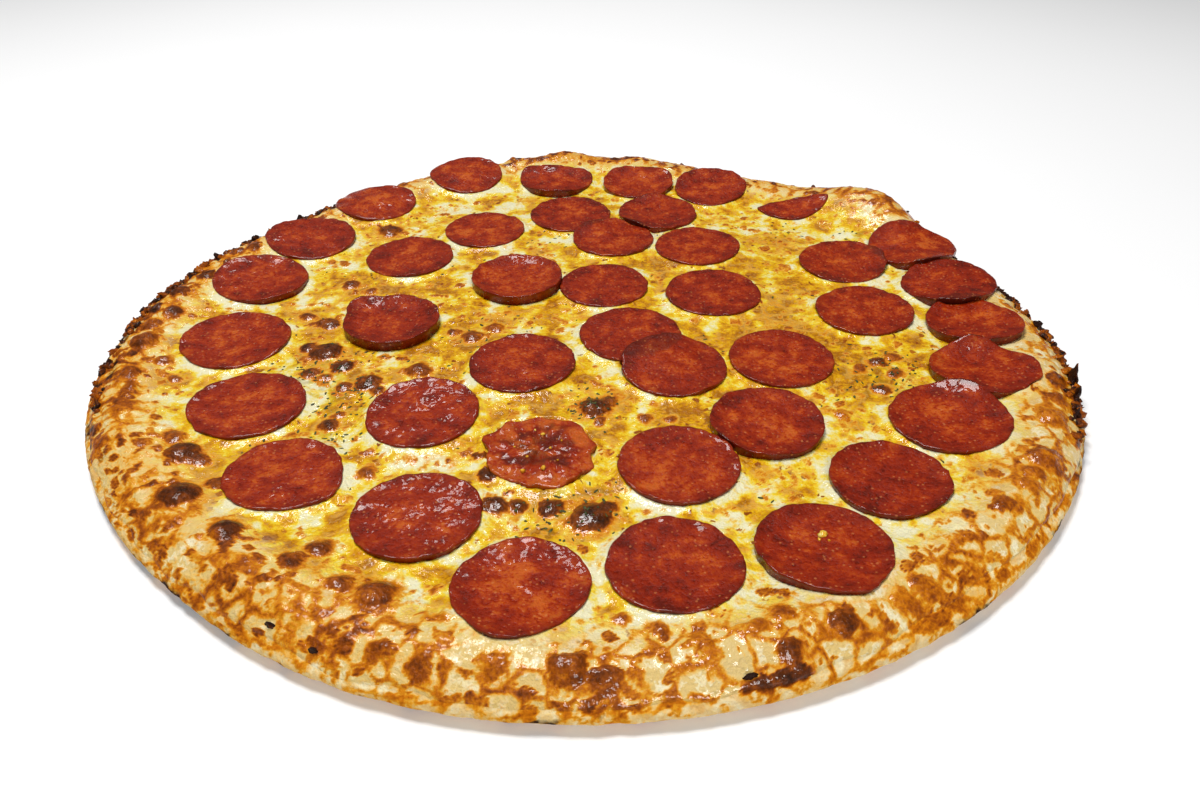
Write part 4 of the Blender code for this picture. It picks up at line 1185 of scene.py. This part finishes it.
# %% Crumbs of cheese
# Each is x, y and length in millimetres: one on a slice near the front, the others on the crumbled slice.
CRUMBS = (
    (75, -138, 3.2), (73.5, -140.5, 1.6), (76.5, -141, 1.2), (-17, -83, 1.8), (-14, -91, 1.6), (-22, -96, 1.4),
    (-16, -103, 2.4), (-23, -104, 2.2), (-10, -86, 1.2), (-27, -90, 1.0), (-11, -98, 1.0), (-20, -80, 1.0),
)
rows = np.array(CRUMBS)
bx, by = ((rows[:, :2] + OFFSET) * MM).T
below = [heights(sheet_tree, bx, by)]
for made in made_slices:
    corners = np.array([vertex.co[:] for vertex in made.data.vertices])
    below.append(heights(tree_of(corners, [face.vertices for face in made.data.polygons]), bx, by))
bz = np.fmax.reduce(below)
bit_sizes = rows[:, 2:3] / 2 * MM * chance_of.uniform((0.8, 0.6, 0.5), (1.1, 0.9, 0.7), (len(rows), 3))
bit_cloud, bit_faces = lump_cloud(bx, by, bz + 0.2 * bit_sizes[:, 2], bit_sizes)
flat = np.zeros(len(bit_cloud))
bits = add_piece("cheese_crumbs", bit_cloud, bit_faces, melted_mozzarella, bit_fields(flat + 0.24, flat, 0))
print(len(CRUMBS), "crumbs of cheese")

# %% [markdown]
# ## Floor, light and camera
#
# The picture is a cut-out on white, so the floor is a plain white sheet. Wet food wants one bright panel overhead,
# not too large, and dim surroundings, because a bright room mirrored in the oil would wash the reds out. A small
# weak panel behind draws sharp lights on the film, and one in front does it for the rim. The camera looks down at
# 35 degrees through a wide lens, which is why the front looks so large.

# %% Floor
m = white_board = new_material("white_board")
place = node(m, "TexCoord", "Object")
cloudy = node(m, "TexNoise", Vector=place, Scale=2.0)
paint = node(m, "ValToRGB", options={"stops": ((0.3, "#FAFAFA"), (0.7, "#FDFDFD"))}, Fac=cloudy)
node(m, "OutputMaterial", Surface=node(m, "BsdfPrincipled", Base_Color=paint, Roughness=0.8))
FLOOR_HALF, FLOOR_DROP = 6, 0.05 * MM
corners = [(FLOOR_HALF * x, FLOOR_HALF * y, 0) for x, y in ((-1, -1), (1, -1), (1, 1), (-1, 1))]
floor_mesh = bpy.data.meshes.new("floor")
floor_mesh.from_pydata(corners, [], [(0, 1, 2, 3)])
floor_mesh.materials.append(white_board)
floor = placed("floor", floor_mesh)
floor.location.z = -FLOOR_DROP
print("floor:", 2 * FLOOR_HALF, "m wide")


# %% Lights
def panel(name, place, size, power):
    """A round soft white panel that faces the pizza."""
    light = bpy.data.lights.new(name, "AREA")
    light.shape, light.size, light.energy = "DISK", size, power
    lamp = placed(name, light)
    lamp.location = place
    lamp.rotation_euler = (-Vector(place)).to_track_quat("-Z", "Y").to_euler()


# Each is a name, its place in metres, its width in metres and its power in watts.
PANELS = (
    ("overhead_panel", (-0.25, 0.35, 1.5), 0.6, 20),
    ("rear_panel", (-0.3, 1.0, 1.3), 0.22, 1.8),
    ("front_panel", (0.4, -1.2, 1.0), 0.5, 10),
)
for row in PANELS:
    panel(*row)
print(len(PANELS), "panels")

# %% Surroundings
# The camera sees plain white behind the pizza, and everything else sees a dim room.
DIM = 0.10
world = bpy.data.worlds.new("studio")
world.use_nodes = True
world.node_tree.nodes.clear()
room = node(world, "Background", Color="#FFFFFF", Strength=DIM)
seen = node(world, "Background", Color="#FFFFFF")
choice = node(world, "MixShader", _0=node(world, "LightPath", "Is Camera Ray"), _1=room, _2=seen)
node(world, "OutputWorld", Surface=choice)
bpy.context.scene.world = world
bpy.context.scene.view_settings.view_transform = "Standard"
bpy.context.scene.cycles.use_denoising = True
print("surroundings:", DIM, "of white")

# %% Camera
CAMERA_PLACE = Vector((4.3 + OFFSET[0], -346.8 + OFFSET[1], 212.1)) * MM
LOOK_DOWN, ROLL = 35.49, -0.58
# The focal length in pixels over the picture's width, and a usual sensor's width in millimetres.
FOCAL_SHARE, SENSOR = 898.6 / 1200, 36
camera_data = bpy.data.cameras.new("camera")
camera_data.sensor_width = SENSOR
camera_data.lens = SENSOR * FOCAL_SHARE
camera_data.clip_start = 0.01
camera = placed("camera", camera_data)
camera.location = CAMERA_PLACE
camera.rotation_mode = "ZYX"
camera.rotation_euler = (math.radians(90 - LOOK_DOWN), 0, math.radians(ROLL))
bpy.context.scene.camera = camera
print("lens", round(camera_data.lens, 1), "mm")

# %% Finish
print("solids", [round(1000 * v, 2) for v in (*cad_low, *cad_high)])
